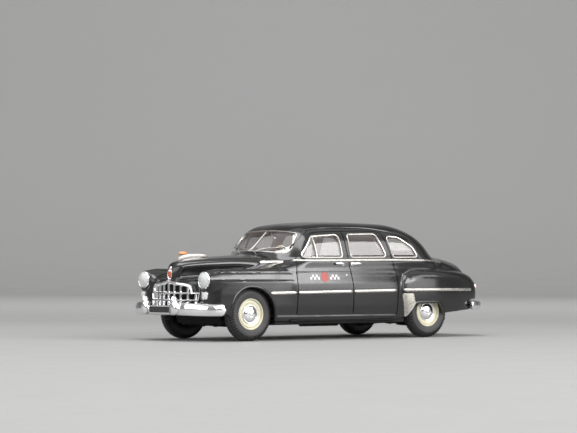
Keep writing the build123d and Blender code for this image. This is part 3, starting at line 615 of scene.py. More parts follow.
# ---------------------------------------------------------------- materials
def surface(name, color, rough, metal=0.0, other=None, patch=60.0, rough_span=0.06, fine=900.0, bump=0.0, bump_scale=2500.0, coat=0.0, coat_rough=0.1,
            transmission=0.0, ior=1.5, specular=0.5, stretch=(1, 1, 1), kind="noise"):
    """Principled surface whose colour, gloss and fine relief vary over the object in its own coordinates (metres)."""
    m = bpy.data.materials.new(name)
    m.use_nodes = True
    nt = m.node_tree
    n, l = nt.nodes, nt.links
    b = n["Principled BSDF"]
    b.inputs["Metallic"].default_value = metal
    b.inputs["Specular IOR Level"].default_value = specular
    b.inputs["IOR"].default_value = ior
    b.inputs["Coat Weight"].default_value = coat
    b.inputs["Coat Roughness"].default_value = coat_rough
    b.inputs["Transmission Weight"].default_value = transmission
    co = n.new("ShaderNodeTexCoord")
    mp = n.new("ShaderNodeMapping")
    mp.inputs["Scale"].default_value = stretch
    l.new(co.outputs["Object"], mp.inputs["Vector"])
    big = n.new("ShaderNodeTexNoise")
    big.inputs["Scale"].default_value = patch
    big.inputs["Detail"].default_value = 4
    l.new(mp.outputs["Vector"], big.inputs["Vector"])
    ramp = n.new("ShaderNodeValToRGB")
    ramp.color_ramp.elements[0].position, ramp.color_ramp.elements[1].position = 0.3, 0.7
    ramp.color_ramp.elements[0].color = (*color, 1)
    ramp.color_ramp.elements[1].color = (*(other or tuple(min(1.0, c * 1.12 + 0.002) for c in color)), 1)
    l.new(big.outputs["Fac"], ramp.inputs["Fac"])
    l.new(ramp.outputs["Color"], b.inputs["Base Color"])
    sm = n.new("ShaderNodeTexNoise")
    sm.inputs["Scale"].default_value = fine
    sm.inputs["Detail"].default_value = 3
    l.new(mp.outputs["Vector"], sm.inputs["Vector"])
    mr = n.new("ShaderNodeMapRange")
    mr.inputs["From Min"].default_value, mr.inputs["From Max"].default_value = 0.3, 0.7
    mr.inputs["To Min"].default_value, mr.inputs["To Max"].default_value = max(0.0, rough - rough_span), rough + rough_span
    l.new(sm.outputs["Fac"], mr.inputs["Value"])
    l.new(mr.outputs["Result"], b.inputs["Roughness"])
    if bump:
        if kind == "noise":
            tx = n.new("ShaderNodeTexNoise")
            tx.inputs["Detail"].default_value = 3
            out = "Fac"
        else:
            tx = n.new("ShaderNodeTexVoronoi")
            out = "Distance"
        tx.inputs["Scale"].default_value = bump_scale
        l.new(mp.outputs["Vector"], tx.inputs["Vector"])
        bp = n.new("ShaderNodeBump")
        bp.inputs["Strength"].default_value = 1.0
        bp.inputs["Distance"].default_value = bump
        l.new(tx.outputs[out], bp.inputs["Height"])
        l.new(bp.outputs["Normal"], b.inputs["Normal"])
        if coat:
            l.new(bp.outputs["Normal"], b.inputs["Coat Normal"])
    return m


def thin_glass(name, tint, other, mirror=0.05, rough=0.015, patch=50.0):
    """Thin clear pane: it passes light straight on, tinted in faint patches, and mirrors more at a slant."""
    m = bpy.data.materials.new(name)
    m.use_nodes = True
    n, l = m.node_tree.nodes, m.node_tree.links
    b, out = n["Principled BSDF"], n["Material Output"]
    co = n.new("ShaderNodeTexCoord")
    big = n.new("ShaderNodeTexNoise")
    big.inputs["Scale"].default_value = patch
    big.inputs["Detail"].default_value = 3
    l.new(co.outputs["Object"], big.inputs["Vector"])
    ramp = n.new("ShaderNodeValToRGB")
    ramp.color_ramp.elements[0].position, ramp.color_ramp.elements[1].position = 0.3, 0.7
    ramp.color_ramp.elements[0].color, ramp.color_ramp.elements[1].color = (*tint, 1), (*other, 1)
    l.new(big.outputs["Fac"], ramp.inputs["Fac"])
    clear = n.new("ShaderNodeBsdfTransparent")
    l.new(ramp.outputs["Color"], clear.inputs["Color"])
    b.inputs["Base Color"].default_value = (0.97, 0.96, 0.955, 1)
    b.inputs["Metallic"].default_value = 1.0
    mr = n.new("ShaderNodeMapRange")
    mr.inputs["From Min"].default_value, mr.inputs["From Max"].default_value = 0.3, 0.7
    mr.inputs["To Min"].default_value, mr.inputs["To Max"].default_value = rough * 0.4, rough * 2.0
    l.new(big.outputs["Fac"], mr.inputs["Value"])
    l.new(mr.outputs["Result"], b.inputs["Roughness"])
    lw = n.new("ShaderNodeLayerWeight")
    lw.inputs["Blend"].default_value = 0.5
    pw = n.new("ShaderNodeMath")
    pw.operation = "POWER"
    pw.inputs[1].default_value = 4.0
    l.new(lw.outputs["Facing"], pw.inputs[0])
    fr = n.new("ShaderNodeMath")
    fr.operation = "MULTIPLY_ADD"
    fr.inputs[1].default_value, fr.inputs[2].default_value = 0.8, mirror
    l.new(pw.outputs["Value"], fr.inputs[0])
    mix = n.new("ShaderNodeMixShader")
    l.new(fr.outputs["Value"], mix.inputs["Fac"])
    l.new(clear.outputs["BSDF"], mix.inputs[1])
    l.new(b.outputs["BSDF"], mix.inputs[2])
    l.new(mix.outputs["Shader"], out.inputs["Surface"])
    return m


PAINT = surface("black_enamel", (0.0032, 0.0029, 0.0029), 0.19, other=(0.0042, 0.0038, 0.0038), patch=45, rough_span=0.03, fine=1400, bump=0.5e-6, bump_scale=1600, coat=0.25, coat_rough=0.08, specular=0.5)
CHROME = surface("chrome_plating", (0.86, 0.86, 0.87), 0.07, 1.0, other=(0.80, 0.80, 0.81), patch=90, rough_span=0.03, fine=1500, bump=1.0e-6, bump_scale=1800)
BRIGHT = surface("bright_strip", (0.66, 0.63, 0.59), 0.30, 1.0, other=(0.58, 0.555, 0.52), patch=180, rough_span=0.08, fine=1800, bump=3.0e-6, bump_scale=4000, stretch=(0.25, 1, 1))
GLASS = thin_glass("clear_glazing", (0.93, 0.925, 0.915), (0.97, 0.965, 0.955), 0.08)
LENS = surface("lamp_glass", (0.58, 0.60, 0.59), 0.14, other=(0.70, 0.71, 0.70), patch=400, rough_span=0.05, fine=2500, bump=4.0e-6, bump_scale=2600, coat=0.6, coat_rough=0.05)
LENS.node_tree.nodes["Principled BSDF"].inputs["Alpha"].default_value = 0.72
RUBBER = surface("tyre_rubber", (0.021, 0.020, 0.020), 0.58, other=(0.033, 0.031, 0.031), patch=260, rough_span=0.1, fine=2600, bump=9.0e-6, bump_scale=4200)
CREAM = surface("cream_enamel", (0.57, 0.545, 0.415), 0.28, other=(0.51, 0.48, 0.36), patch=220, rough_span=0.07, fine=1500, bump=3.0e-6, bump_scale=1800, coat=0.4, coat_rough=0.12)
PLASTIC = surface("black_plastic", (0.006, 0.006, 0.006), 0.62, other=(0.011, 0.0105, 0.010), patch=300, rough_span=0.1, fine=2000, bump=1.2e-5, bump_scale=3200, specular=0.22)
SATIN = surface("satin_plating", (0.47, 0.445, 0.425), 0.40, 1.0, other=(0.41, 0.39, 0.37), patch=260, rough_span=0.08, fine=1900, bump=2.5e-6, bump_scale=3600)
GREY = surface("exhaust_grey", (0.16, 0.15, 0.145), 0.5, 0.7, other=(0.23, 0.21, 0.19), patch=400, rough_span=0.12, fine=2400, bump=1.0e-5, bump_scale=3000)
SEAT = surface("seat_leathercloth", (0.20, 0.085, 0.085), 0.5, other=(0.15, 0.06, 0.062), patch=240, rough_span=0.1, fine=1800, bump=1.6e-5, bump_scale=2600, kind="cells")
LINING = surface("cloth_lining", (0.72, 0.56, 0.575), 0.75, other=(0.64, 0.49, 0.505), patch=200, rough_span=0.08, fine=2400, bump=1.4e-5, bump_scale=3600, kind="cells")
TRIMP = surface("interior_plastic", (0.26, 0.19, 0.185), 0.55, other=(0.20, 0.145, 0.14), patch=180, rough_span=0.1, fine=1700, bump=1.0e-5, bump_scale=2600)
IVORY = surface("ivory_plastic", (0.78, 0.70, 0.50), 0.28, other=(0.70, 0.61, 0.42), patch=300, rough_span=0.06, fine=1800, bump=2.0e-6, bump_scale=2000, coat=0.4)
RED = surface("red_plastic", (0.42, 0.012, 0.012), 0.16, other=(0.55, 0.03, 0.02), patch=500, rough_span=0.05, fine=1900, bump=4.0e-6, bump_scale=2600, coat=0.5)
ENAMEL = surface("orange_enamel", (0.42, 0.085, 0.030), 0.3, other=(0.34, 0.060, 0.024), patch=600, rough_span=0.06, fine=2000, bump=4.0e-6, bump_scale=2600, coat=0.3)
AMBER = surface("amber_plastic", (0.50, 0.17, 0.050), 0.3, other=(0.56, 0.22, 0.075), patch=500, rough_span=0.05, fine=2000, bump=3.0e-6, bump_scale=2400, coat=0.5)
STEEL = surface("axle_steel", (0.46, 0.46, 0.47), 0.3, 1.0, other=(0.36, 0.36, 0.36), patch=250, rough_span=0.1, fine=2400, bump=4.0e-6, bump_scale=4000, stretch=(1, 0.2, 1))
PLATE = surface("plate_black", (0.010, 0.010, 0.012), 0.3, other=(0.016, 0.016, 0.018), patch=200, rough_span=0.06, fine=1800, bump=2.0e-6, bump_scale=2400, coat=0.5)
WHITE = surface("white_print", (0.58, 0.58, 0.565), 0.42, other=(0.52, 0.52, 0.51), patch=500, rough_span=0.08, fine=2600, bump=2.0e-6, bump_scale=3000)
SIGNRED = surface("red_print", (0.30, 0.046, 0.040), 0.42, other=(0.26, 0.036, 0.032), patch=600, rough_span=0.08, fine=2600, bump=2.0e-6, bump_scale=3000)
PAPER = surface("floor_paper", (0.243, 0.243, 0.241), 0.6, other=(0.250, 0.250, 0.248), patch=3, rough_span=0.05, fine=60, bump=2.0e-5, bump_scale=900, specular=0.3)


def finish(ob, material, nodes=(), bodyname="car"):
    ob.data.materials.clear()
    ob.data.materials.append(material)
    if nodes:
        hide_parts(*nodes)
    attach(ob, bodyname)
    return ob


finish(body, PAINT, ["body_shell"])
body.data.materials.append(LINING)
ce = np.empty(len(body.data.polygons) * 3)
body.data.polygons.foreach_get("center", ce)
ce = ce.reshape(-1, 3) / MM
inside = (field(*ce.T, False) < -0.62) & (ce[:, 2] > 12.0) & (ce[:, 0] > -47.0) & (ce[:, 0] < 27.0)
body.data.polygons.foreach_set("material_index", inside.astype(np.int32))


# ---------------------------------------------------------------- glazing and bright frames
def frame_ring(bd, loop, put, profile):
    loop = resample(loop, 0.45, True)
    base = put(loop)
    rings = []
    for o, h in profile:
        q = put(inward(loop, o))
        rings.append(q + normals_at(q) * h)
    rings = np.array(rings)
    bd.rings([rings[:, i] for i in range(rings.shape[1])], closed_path=True)


def pane(bd, loop, put, out=-0.34, inn=-0.62):
    loop = resample(inward(loop, -0.05), 0.8, True)
    c = loop.mean(0)
    layers = []
    for depth in (out, inn):
        rings = []
        for k in (1.0, 0.94, 0.86, 0.77, 0.67, 0.57, 0.47, 0.37, 0.27, 0.17, 0.06):
            q = put(c + (loop - c) * k)
            rings.append(q + normals_at(q) * depth)
        layers.append(rings)
    bd.rings(layers[1][::-1] + layers[0], caps=True)


def pane_normals(ob):
    """Shade both faces of a pane with the slope of the skin above it."""
    me = ob.data
    n = len(me.polygons)
    nm = np.empty(n * 3)
    me.polygons.foreach_get("normal", nm)
    nm = nm.reshape(-1, 3)
    co = np.empty(len(me.vertices) * 3)
    me.vertices.foreach_get("co", co)
    vn = normals_at(co.reshape(-1, 3) / MM)
    lv = np.empty(len(me.loops), np.int64)
    me.loops.foreach_get("vertex_index", lv)
    tot = np.empty(n, np.int64)
    me.polygons.foreach_get("loop_total", tot)
    face = np.repeat(np.arange(n), tot)
    dot = (vn[lv] * nm[face]).sum(1)
    out = np.where(np.abs(dot)[:, None] > 0.75, vn[lv] * np.sign(dot)[:, None], nm[face])
    me.normals_split_custom_set([tuple(v) for v in out])
    return ob


FRAME = [(-0.02, -0.36), (-0.02, 0.04), (0.08, 0.12), (0.24, 0.12), (0.34, 0.05), (0.36, -0.36)]
FINE = [(-0.02, -0.36), (-0.02, 0.01), (0.05, 0.06), (0.14, 0.06), (0.19, 0.01), (0.21, -0.36)]
sides, frames = Build(), Build()
for loop in WINDOWS.values():
    frame_ring(frames, loop, on_side, FRAME)
    pane(sides, loop, on_side)
bar = on_side(resample([(14.15, 26.4), (13.95, 33.45)], 0.4))
sweep(frames, bar, normals_at(bar), [(-0.2, -0.34), (-0.2, 0.02), (-0.1, 0.1), (0.1, 0.1), (0.2, 0.02), (0.2, -0.34)])
sides.mirror_y()
frames.mirror_y()
finish(pane_normals(sides.object("side_panes")), GLASS, ["side_glass"])
finish(frames.object("side_frames"), BRIGHT, ["side_window_frames"])

bd = Build()
pane(bd, WINDSCREEN, on_front)
finish(pane_normals(bd.object("windscreen_panes")), GLASS, ["windscreen"])
bd = Build()
frame_ring(bd, WINDSCREEN, on_front, FINE)
bar = on_front(resample([(0.0, 28.45), (0.0, 35.0)], 0.4))
sweep(bd, bar, normals_at(bar), [(-0.08, -0.3), (-0.08, -0.07), (-0.04, -0.03), (0.04, -0.03), (0.08, -0.07), (0.08, -0.3)])
finish(bd.object("windscreen_bright_frame"), SATIN, ["windscreen_frame"])
bd = Build()
pane(bd, REAR_SCREEN, on_rear)
finish(pane_normals(bd.object("rear_pane")), GLASS, ["rear_window"])
bd = Build()
frame_ring(bd, REAR_SCREEN, on_rear, FRAME)
finish(bd.object("rear_bright_frame"), BRIGHT, ["rear_window_frame"])

# ---------------------------------------------------------------- strips on the flanks
def strip_profile(w, h):
    return [(-w / 2, -0.12), (-w / 2, 0.3 * h), (-0.36 * w, 0.78 * h), (-0.15 * w, h), (0.15 * w, h), (0.36 * w, 0.78 * h), (w / 2, 0.3 * h), (w / 2, -0.12)]


def round_ends(k):
    return lambda t: max(0.05, min(1.0, math.sqrt(max(0.0, min(t, 1 - t)) * k)))


def side_strip(bd, pts, w, h, ends=60.0, n=80):
    p = on_side(smooth_path(pts, n) if len(pts) > 2 else resample(pts, 0.8))
    sweep(bd, p, normals_at(p), strip_profile(w, h), taper=round_ends(ends))


belt = Build()
side_strip(belt, [(22.9, 25.5), (12, 25.55), (0, 25.6), (-16, 25.65), (-30, 25.6), (-37, 25.35), (-43.4, 24.9)], 0.62, 0.3, 200, 120)
belt.mirror_y()
finish(belt.object("belt_strips"), BRIGHT, ["belt_mouldings"])
low = Build()
for a, b in ((34.2, 23.75), (23.2, 0.4), (-0.05, -18.75)):
    za, zb = (15.15 + (34.2 - q) * 0.0115 for q in (a, b))
    side_strip(low, [(a, za), (b, zb)], 0.98, 0.32, 200)
side_strip(low, [(-20.95, 15.85), (-30, 15.85), (-40, 15.85), (-48, 15.8), (-54.3, 15.75)], 0.98, 0.34, 60, 90)
low.mirror_y()
finish(low.object("flank_strips"), BRIGHT, ["side_mouldings"])

# drip rails over the doors
rail = Build()
p = on_side(smooth_path([(21.6, 29.2), (18.4, 32.8), (15.2, 35.0), (11.0, 35.75), (4.0, 36.1), (-4.0, 36.2), (-11.0, 36.0), (-17.0, 35.35), (-22.5, 34.2), (-27.2, 32.2)], 90))
sweep(rail, p, normals_at(p), [(-0.26, -0.1), (-0.26, 0.16), (-0.1, 0.3), (0.12, 0.26), (0.26, 0.05), (0.26, -0.1)], taper=round_ends(120))
rail.mirror_y()
finish(rail.object("drip_rails"), PAINT)

# rolled lips round the wheel openings
lip = Build()
for arch, mid, low in ((FRONT_ARCH, (40.7, 8.0), 7.2), (REAR_ARCH, (-31.4, 5.0), 8.0)):
    q = resample(arch, 0.4)
    q = q[q[:, 1] > low]
    away = q - np.array(mid)
    q = q + away / np.linalg.norm(away, axis=1)[:, None] * 0.42
    p = on_side(q)
    sweep(lip, p, normals_at(p), [(-0.4, -0.15), (-0.4, 0.04), (-0.2, 0.14), (0.06, 0.15), (0.28, 0.08), (0.42, -0.02), (0.42, -0.15)], taper=round_ends(40))
lip.mirror_y()
finish(lip.object("arch_lips"), PAINT)

# ---------------------------------------------------------------- wheels
def spin_ring(profile, xa, yc, side, seg, wobble=None):
    """Turn (y, r) points about the axle."""
    rings = []
    for i in range(seg):
        a = 2 * math.pi * i / seg
        pts = []
        for k, (y, r) in enumerate(profile):
            dy, dr = (0.0, 0.0) if wobble is None else wobble(i, k)
            pts.append((xa + (r + dr) * math.sin(a), side * (yc + y + dy), 8.55 + (r + dr) * math.cos(a)))
        rings.append(pts)
    return rings


TYRE = [(1.50, 4.86), (1.74, 4.92), (1.86, 5.16), (1.99, 5.7), (2.03, 6.1), (2.06, 6.5), (2.10, 6.56), (2.06, 6.62), (2.03, 7.0), (1.96, 7.35), (1.90, 7.42), (1.84, 7.62),
        (1.72, 7.9), (1.56, 8.18), (1.36, 8.38), (1.10, 8.48), (0.86, 8.52), (0.84, 8.40), (0.70, 8.40), (0.68, 8.54), (0.08, 8.55), (0.06, 8.42), (-0.06, 8.42), (-0.08, 8.55),
        (-0.68, 8.54), (-0.70, 8.40), (-0.84, 8.40), (-0.86, 8.52), (-1.10, 8.48), (-1.36, 8.38), (-1.56, 8.18), (-1.72, 7.9), (-1.84, 7.62), (-1.96, 7.35), (-2.03, 6.8), (-2.02, 6.1), (-1.9, 5.6), (-1.62, 5.12)]
RIM = [(1.45, 5.10), (1.66, 5.00), (1.78, 4.90), (1.80, 4.78), (1.72, 4.66), (1.46, 4.58), (1.18, 4.50), (1.08, 4.38), (1.10, 4.30), (1.30, 4.20), (1.42, 4.04), (1.42, 3.84),
       (1.34, 3.60), (1.20, 3.34), (1.10, 3.12), (1.24, 2.60), (1.20, 1.2), (0.6, 1.0), (0.5, 3.0), (0.3, 4.4), (-1.60, 4.6), (-1.72, 4.9), (-1.60, 5.16)]
CAP = [(1.22, 3.02), (1.34, 3.02), (1.42, 2.94), (1.43, 2.80), (1.38, 2.70), (1.40, 2.62), (1.58, 2.46), (1.74, 2.20), (1.88, 1.82), (1.98, 1.38), (2.04, 0.95), (2.05, 0.86), (2.02, 0.80), (2.03, 0.74), (2.08, 0.60), (2.12, 0.3), (2.13, 0.04)]
TREAD = {k: (-0.17 if y > 0 else 0.17, 0.0) if abs(y) > 1.88 else (-0.12 if y > 0 else 0.12, -0.24) for k, (y, r) in enumerate(TYRE) if abs(y) > 0.95 and r > 7.2}
for end, xa, yc in (("front", 40.55, 1455 / 43 / 2), ("rear", 40.55 - 3200 / 43, 1500 / 43 / 2)):
    parts = {"tyre": Build(), "rim": Build(), "cap": Build()}
    for s in (1, -1):
        def tread(i, k):
            return TREAD[k] if k in TREAD and i % 4 < 2 else (0.0, 0.0)
        parts["tyre"].rings(spin_ring(TYRE, xa, yc, s, 240, tread), closed_path=True)
        parts["rim"].rings(spin_ring(RIM, xa, yc, s, 96), closed_path=True)
        parts["cap"].rings(spin_ring(CAP, xa, yc, s, 96), closed_ring=False, closed_path=True)
    bodyname = end + "_axle"
    tyre_ob = finish(parts["tyre"].object(end + "_tread_tyres", angle=28), RUBBER, [end + "_tyres"], bodyname)
    # the faces of the sunk tread grooves get the darker black plastic: painted shade in the grooves
    tyre_ob.data.materials.append(PLASTIC)
    for p in tyre_ob.data.polygons:
        px, py, pz = p.center.x / MM - xa, abs(p.center.y) / MM - yc, p.center.z / MM - 8.55
        turn = int(math.floor(math.atan2(px, pz) / (2 * math.pi / 240) + 1e-6)) % 4
        p.material_index = 1 if abs(py) > 0.95 and math.hypot(px, pz) > 7.1 and turn in (0, 1) else 0
    rim_ob = finish(parts["rim"].object(end + "_dished_rims", angle=40), CREAM, [end + "_rims"], bodyname)
    rim_ob.data.materials.append(PLASTIC)
    for p in rim_ob.data.polygons:
        p.material_index = 1 if abs(p.center.y) / MM < yc + 0.55 else 0
    finish(parts["cap"].object(end + "_domed_caps", angle=40), CHROME, [end + "_hubcaps"], bodyname)

# ---------------------------------------------------------------- bumpers
def bumper(path, section, n=110, end_len=3.0, droop=0.0, dip=0.0):
    """Section points (out, z) carried round a plan path (x, y); both ends close to a rounded tip."""
    p = smooth_path(path, n)
    t = np.gradient(p, axis=0)
    t /= np.linalg.norm(t, axis=1)[:, None]
    nrm = np.stack([t[:, 1], -t[:, 0]], 1)
    if (nrm[len(p) // 2] @ p[len(p) // 2]) < 0:
        nrm = -nrm
    d = np.concatenate([[0], np.cumsum(np.linalg.norm(np.diff(p, axis=0), axis=1))])
    zc = np.mean([z for _, z in section])
    rings = []
    for i in range(len(p)):
        e = min(d[i], d[-1] - d[i])
        k = max(0.0, 1 - (1 - min(1.0, e / end_len)) ** 3.2) ** (1 / 3.2) if e < end_len else 1.0
        k = max(k, 0.3)
        far = min(1.0, abs(p[i, 1]) / 20.0)
        rings.append([(p[i, 0] + nrm[i, 0] * o * (0.5 + 0.5 * k), p[i, 1] + nrm[i, 1] * o * (0.5 + 0.5 * k), zc + (z - zc) * k * (1 - 0.10 * far * far) - droop * far * far
                       - dip * float(step01((8.6 - abs(p[i, 1])) / 1.2)) * min(1.0, max(0.0, (z - 9.0) / 3.2))) for o, z in section])
    bd = Build()
    bd.rings(rings)
    return bd


F_SECTION = [(-1.3, 12.0), (-0.9, 12.42), (-0.45, 12.5), (-0.08, 12.3), (0.16, 11.8), (0.34, 11.0), (0.38, 10.2), (0.30, 9.4), (0.12, 8.75), (-0.2, 8.35), (-0.7, 8.2), (-1.25, 8.3),
             (-1.2, 8.75), (-0.6, 9.0), (-0.45, 10.3), (-0.6, 11.6)]
fb = bumper([(52.4, 21.0), (55.2, 20.2), (58.0, 18.4), (60.2, 15.6), (61.4, 12.0), (61.85, 7.0), (61.95, 0), (61.85, -7.0), (61.4, -12.0), (60.2, -15.6), (58.0, -18.4), (55.2, -20.2), (52.4, -21.0)], F_SECTION, end_len=1.5, droop=0.4, dip=1.2)
for y in (-7.7, 7.7):
    fb.rings([[(x, y - 0.9, z) for x, z in ((57.2, 9.0), (61.6, 9.0), (61.6, 10.4), (57.2, 10.4))], [(x, y + 0.9, z) for x, z in ((57.2, 9.0), (61.6, 9.0), (61.6, 10.4), (57.2, 10.4))]])
finish(fb.object("front_bumper_bar"), CHROME, ["front_bumper"])
R_SECTION = [(-1.2, 11.8), (-0.8, 12.15), (-0.4, 12.2), (-0.05, 12.0), (0.18, 11.5), (0.3, 10.8), (0.3, 10.3), (0.2, 9.7), (0.0, 9.25), (-0.4, 9.0), (-0.9, 9.0), (-1.2, 9.2), (-0.7, 9.6), (-0.5, 10.6), (-0.7, 11.5)]
rb = bumper([(-53.2, 20.0), (-55.2, 19.45), (-57.2, 18.6), (-59.8, 16.8), (-61.7, 13.8), (-62.7, 10.0), (-63.1, 5.0), (-63.15, 0), (-63.1, -5.0), (-62.7, -10.0), (-61.7, -13.8), (-59.8, -16.8), (-57.2, -18.6), (-55.2, -19.45), (-53.2, -20.0)], R_SECTION, end_len=1.7, droop=0.2)
for y in (-7.0, 7.0):
    rb.rings([[(x, y - 0.8, z) for x, z in ((-62.6, 9.8), (-60.0, 9.8), (-60.0, 11.4), (-62.6, 11.4))], [(x, y + 0.8, z) for x, z in ((-62.6, 9.8), (-60.0, 9.8), (-60.0, 11.4), (-62.6, 11.4))]])
finish(rb.object("rear_bumper_bar"), CHROME, ["rear_bumper"])


def horn(x_face, reach, y, z0, z1, w):
    """Upright overrider: rounded in plan, thinner to the top, leaning over the bar."""
    sgn = 1 if x_face > 0 else -1
    rings = []
    for t in np.linspace(0, 1, 15):
        z = z0 + (z1 - z0) * t
        k = math.sqrt(max(0.03, 1 - (2 * abs(t - 0.5)) ** 4.5))
        wide = w * (0.78 + 0.22 * math.cos(math.pi * (t - 0.15))) * k
        out = reach * (0.86 + 0.14 * math.sin(math.pi * t)) * (0.35 + 0.65 * k)
        back = x_face - sgn * (0.6 if t < 0.72 else 0.6 - 0.5 * (t - 0.72) / 0.28)
        rings.append([(back + sgn * (0.6 + out * 0.5) * (1 - math.cos(a)) * 0.5 * 1.35, y + wide * math.sin(a) * (1.0 if abs(math.sin(a)) < 0.9 else 0.98), z) for a in np.linspace(0, 2 * math.pi, 20, endpoint=False)])
    return rings


for name, xf, reach, yy, z0, z1, w, node in (("front_horns", 62.0, 2.2, 7.7, 8.3, 14.1, 1.6, "front_overriders"), ("rear_horns", -63.0, 1.2, 7.0, 8.9, 13.7, 1.0, "rear_overriders")):
    bd = Build()
    bd.rings(horn(xf, reach, yy, z0, z1, w))
    bd.mirror_y()
    finish(bd.object(name), CHROME, [node])

# ---------------------------------------------------------------- grille
def grille_x(y):
    return 58.95 - 0.0200 * np.asarray(y, float) ** 2


def front_bar(bd, yz, w, d, back=0.0, n=60):
    """Bar along a path in the front view, on the bowed face of the grille."""
    p = resample(yz, 0.35) if len(yz) == 2 else smooth_path(yz, n)
    pts = np.stack([grille_x(p[:, 0]) - back, p[:, 0], p[:, 1]], 1)
    nr = np.stack([np.ones(len(p)), 0.040 * p[:, 0], np.zeros(len(p))], 1)
    nr /= np.linalg.norm(nr, axis=1)[:, None]
    sweep(bd, pts, nr, [(-w / 2, -0.3), (-w / 2, d * 0.35), (-w * 0.3, d * 0.85), (0, d), (w * 0.3, d * 0.85), (w / 2, d * 0.35), (w / 2, -0.3)])


gr_b = Build()
front_bar(gr_b, [(-12.5, 15.2), (12.5, 15.2)], 0.85, 0.75)
front_bar(gr_b, [(-12.1, 12.9), (12.1, 12.9)], 0.85, 0.72)
front_bar(gr_b, [(-11.9, 10.75), (11.9, 10.75)], 0.8, 0.55)
front_bar(gr_b, [(9.9, 15.2), (9.65, 16.3), (8.9, 17.25), (7.3, 17.72), (4.0, 18.12), (1.2, 18.45), (0.0, 18.85), (-1.2, 18.45), (-4.0, 18.12), (-7.3, 17.72), (-8.9, 17.25), (-9.65, 16.3), (-9.9, 15.2)], 1.2, 0.8, 0, 110)
for y in (12.2, -12.2):
    front_bar(gr_b, [(y, 15.25), (y * 0.975, 12.9), (y * 0.945, 10.9)], 0.6, 0.5)
for k in range(-4, 5):
    y = k * 2.75
    top = 18.2 - 0.06 * abs(y) if abs(y) < 9 else 15.2
    front_bar(gr_b, [(y, 10.75), (y, top)], 0.86, 0.5, 0.12)
finish(gr_b.object("grille_bars"), CHROME, ["grille"])
core_b = Build()
core = resample(GRILLE_OUT, 0.4, True)
core = core.mean(0) + (core - core.mean(0)) * [1.03, 1.06]
cc = core.mean(0)
core_b.rings([np.stack([grille_x(q[:, 0]) - d, q[:, 0], q[:, 1]], 1) for d, q in [(2.6, core), (2.3, core)] + [(2.3 - 0.12 * (i % 2), cc + (core - cc) * k) for i, k in enumerate((0.94, 0.8, 0.64, 0.48, 0.32, 0.16, 0.04))]])
finish(core_b.object("radiator_core"), PLASTIC)

# ---------------------------------------------------------------- lamps
def disc_rings(profile, xc, yc, zc, seg=48):
    """Turn (x, r) about an axis along x."""
    return [[(xc + x, yc + r * math.sin(2 * math.pi * i / seg), zc + r * math.cos(2 * math.pi * i / seg)) for x, r in profile] for i in range(seg)]


rims_b, lens_b, refl_b = Build(), Build(), Build()
rims_b.rings(disc_rings([(-0.8, 2.78), (0.0, 2.78), (0.24, 2.76), (0.38, 2.7), (0.44, 2.62), (0.4, 2.54), (0.32, 2.5), (0.2, 2.49), (-0.8, 2.49)], 57.0, 16.0, 19.2), closed_path=True)
prof = [(0.3, 2.53)] + [(0.3 + 0.7 * (1 - (r / 2.53) ** 2), r) for r in (2.4, 2.25, 2.0, 1.75, 1.5, 1.25, 1.0, 0.7, 0.4, 0.05)]
lr = disc_rings(prof + [(x - 0.25, r) for x, r in prof[::-1]], 57.0, 16.0, 19.2, 72)
lens_b.rings(lr, closed_path=True)
lens_b.v = [[x + 0.05 * math.cos((y - 16.0) * 2 * math.pi / 0.42) * (0.3 if x < 57.35 else 1), y, z] for x, y, z in lens_b.v]
refl_b.rings(disc_rings([(0.2, 2.47), (-0.2, 2.38), (-0.55, 1.8), (-0.75, 1.0), (-0.8, 0.45), (-0.45, 0.42), (-0.3, 0.3), (-0.25, 0.02)], 57.0, 16.0, 19.2), closed_ring=False, closed_path=True)
for bd in (rims_b, lens_b, refl_b):
    bd.mirror_y()
finish(rims_b.object("headlamp_bezels"), CHROME, ["headlamp_rims"])
finish(lens_b.object("headlamp_fluted_lenses"), LENS, ["headlamp_lenses"])
finish(refl_b.object("headlamp_bowls"), CHROME)


def front_patch(loop, depth0, depth1, x0=60.0, levels=(1.0, 0.9, 0.6, 0.25)):
    """Low crowned patch on the nose, outline in y, z."""
    loop = np.asarray(loop, float)
    c = loop.mean(0)
    bd = Build()
    rings = []
    for k, h in [(1.0, -0.2), (1.0, depth0)] + [(k, depth0 + (depth1 - depth0) * math.sqrt(1 - k * k)) for k in levels] + [(0.04, depth1)]:
        q = on_front(c + (loop - c) * k, x0)
        nr = normals_at(on_front(c + (loop - c), x0)).mean(0)
        nr /= np.linalg.norm(nr)
        rings.append(q + nr * h)
    bd.rings(rings)
    return bd


lamp_loop = resample(rounded([(15.0, 13.35), (17.6, 13.35), (17.6, 15.65), (15.0, 15.65)], 0.5), 0.3, True)
bd = front_patch(lamp_loop, 0.35, 0.45, levels=(0.97, 0.93))
bd.mirror_y()
finish(bd.object("parking_lamp_bezels"), CHROME, ["parking_lamps"])
lens_loop = resample(rounded([(15.3, 13.65), (17.3, 13.65), (17.3, 15.35), (15.3, 15.35)], 0.4), 0.25, True)
bd = front_patch(lens_loop, 0.46, 0.7)
bd.mirror_y()
finish(bd.object("parking_lamp_lenses"), LENS)

# ---------------------------------------------------------------- tail lamps
def rear_patch(loop, heights, x0=-66.0):
    """Crowned patch on the tail, outline in y, z; heights are (scale, out)."""
    loop = np.asarray(loop, float)
    c = loop.mean(0)
    nr = normals_at(on_rear(loop, x0)).mean(0)
    nr /= np.linalg.norm(nr)
    bd = Build()
    bd.rings([on_rear(c + (loop - c) * k, x0) + nr * h for k, h in heights])
    return bd


def oval(yc, zc, ry, rz, n=36):
    return np.array([(yc + ry * math.cos(2 * math.pi * i / n), zc + rz * math.sin(2 * math.pi * i / n)) for i in range(n)])


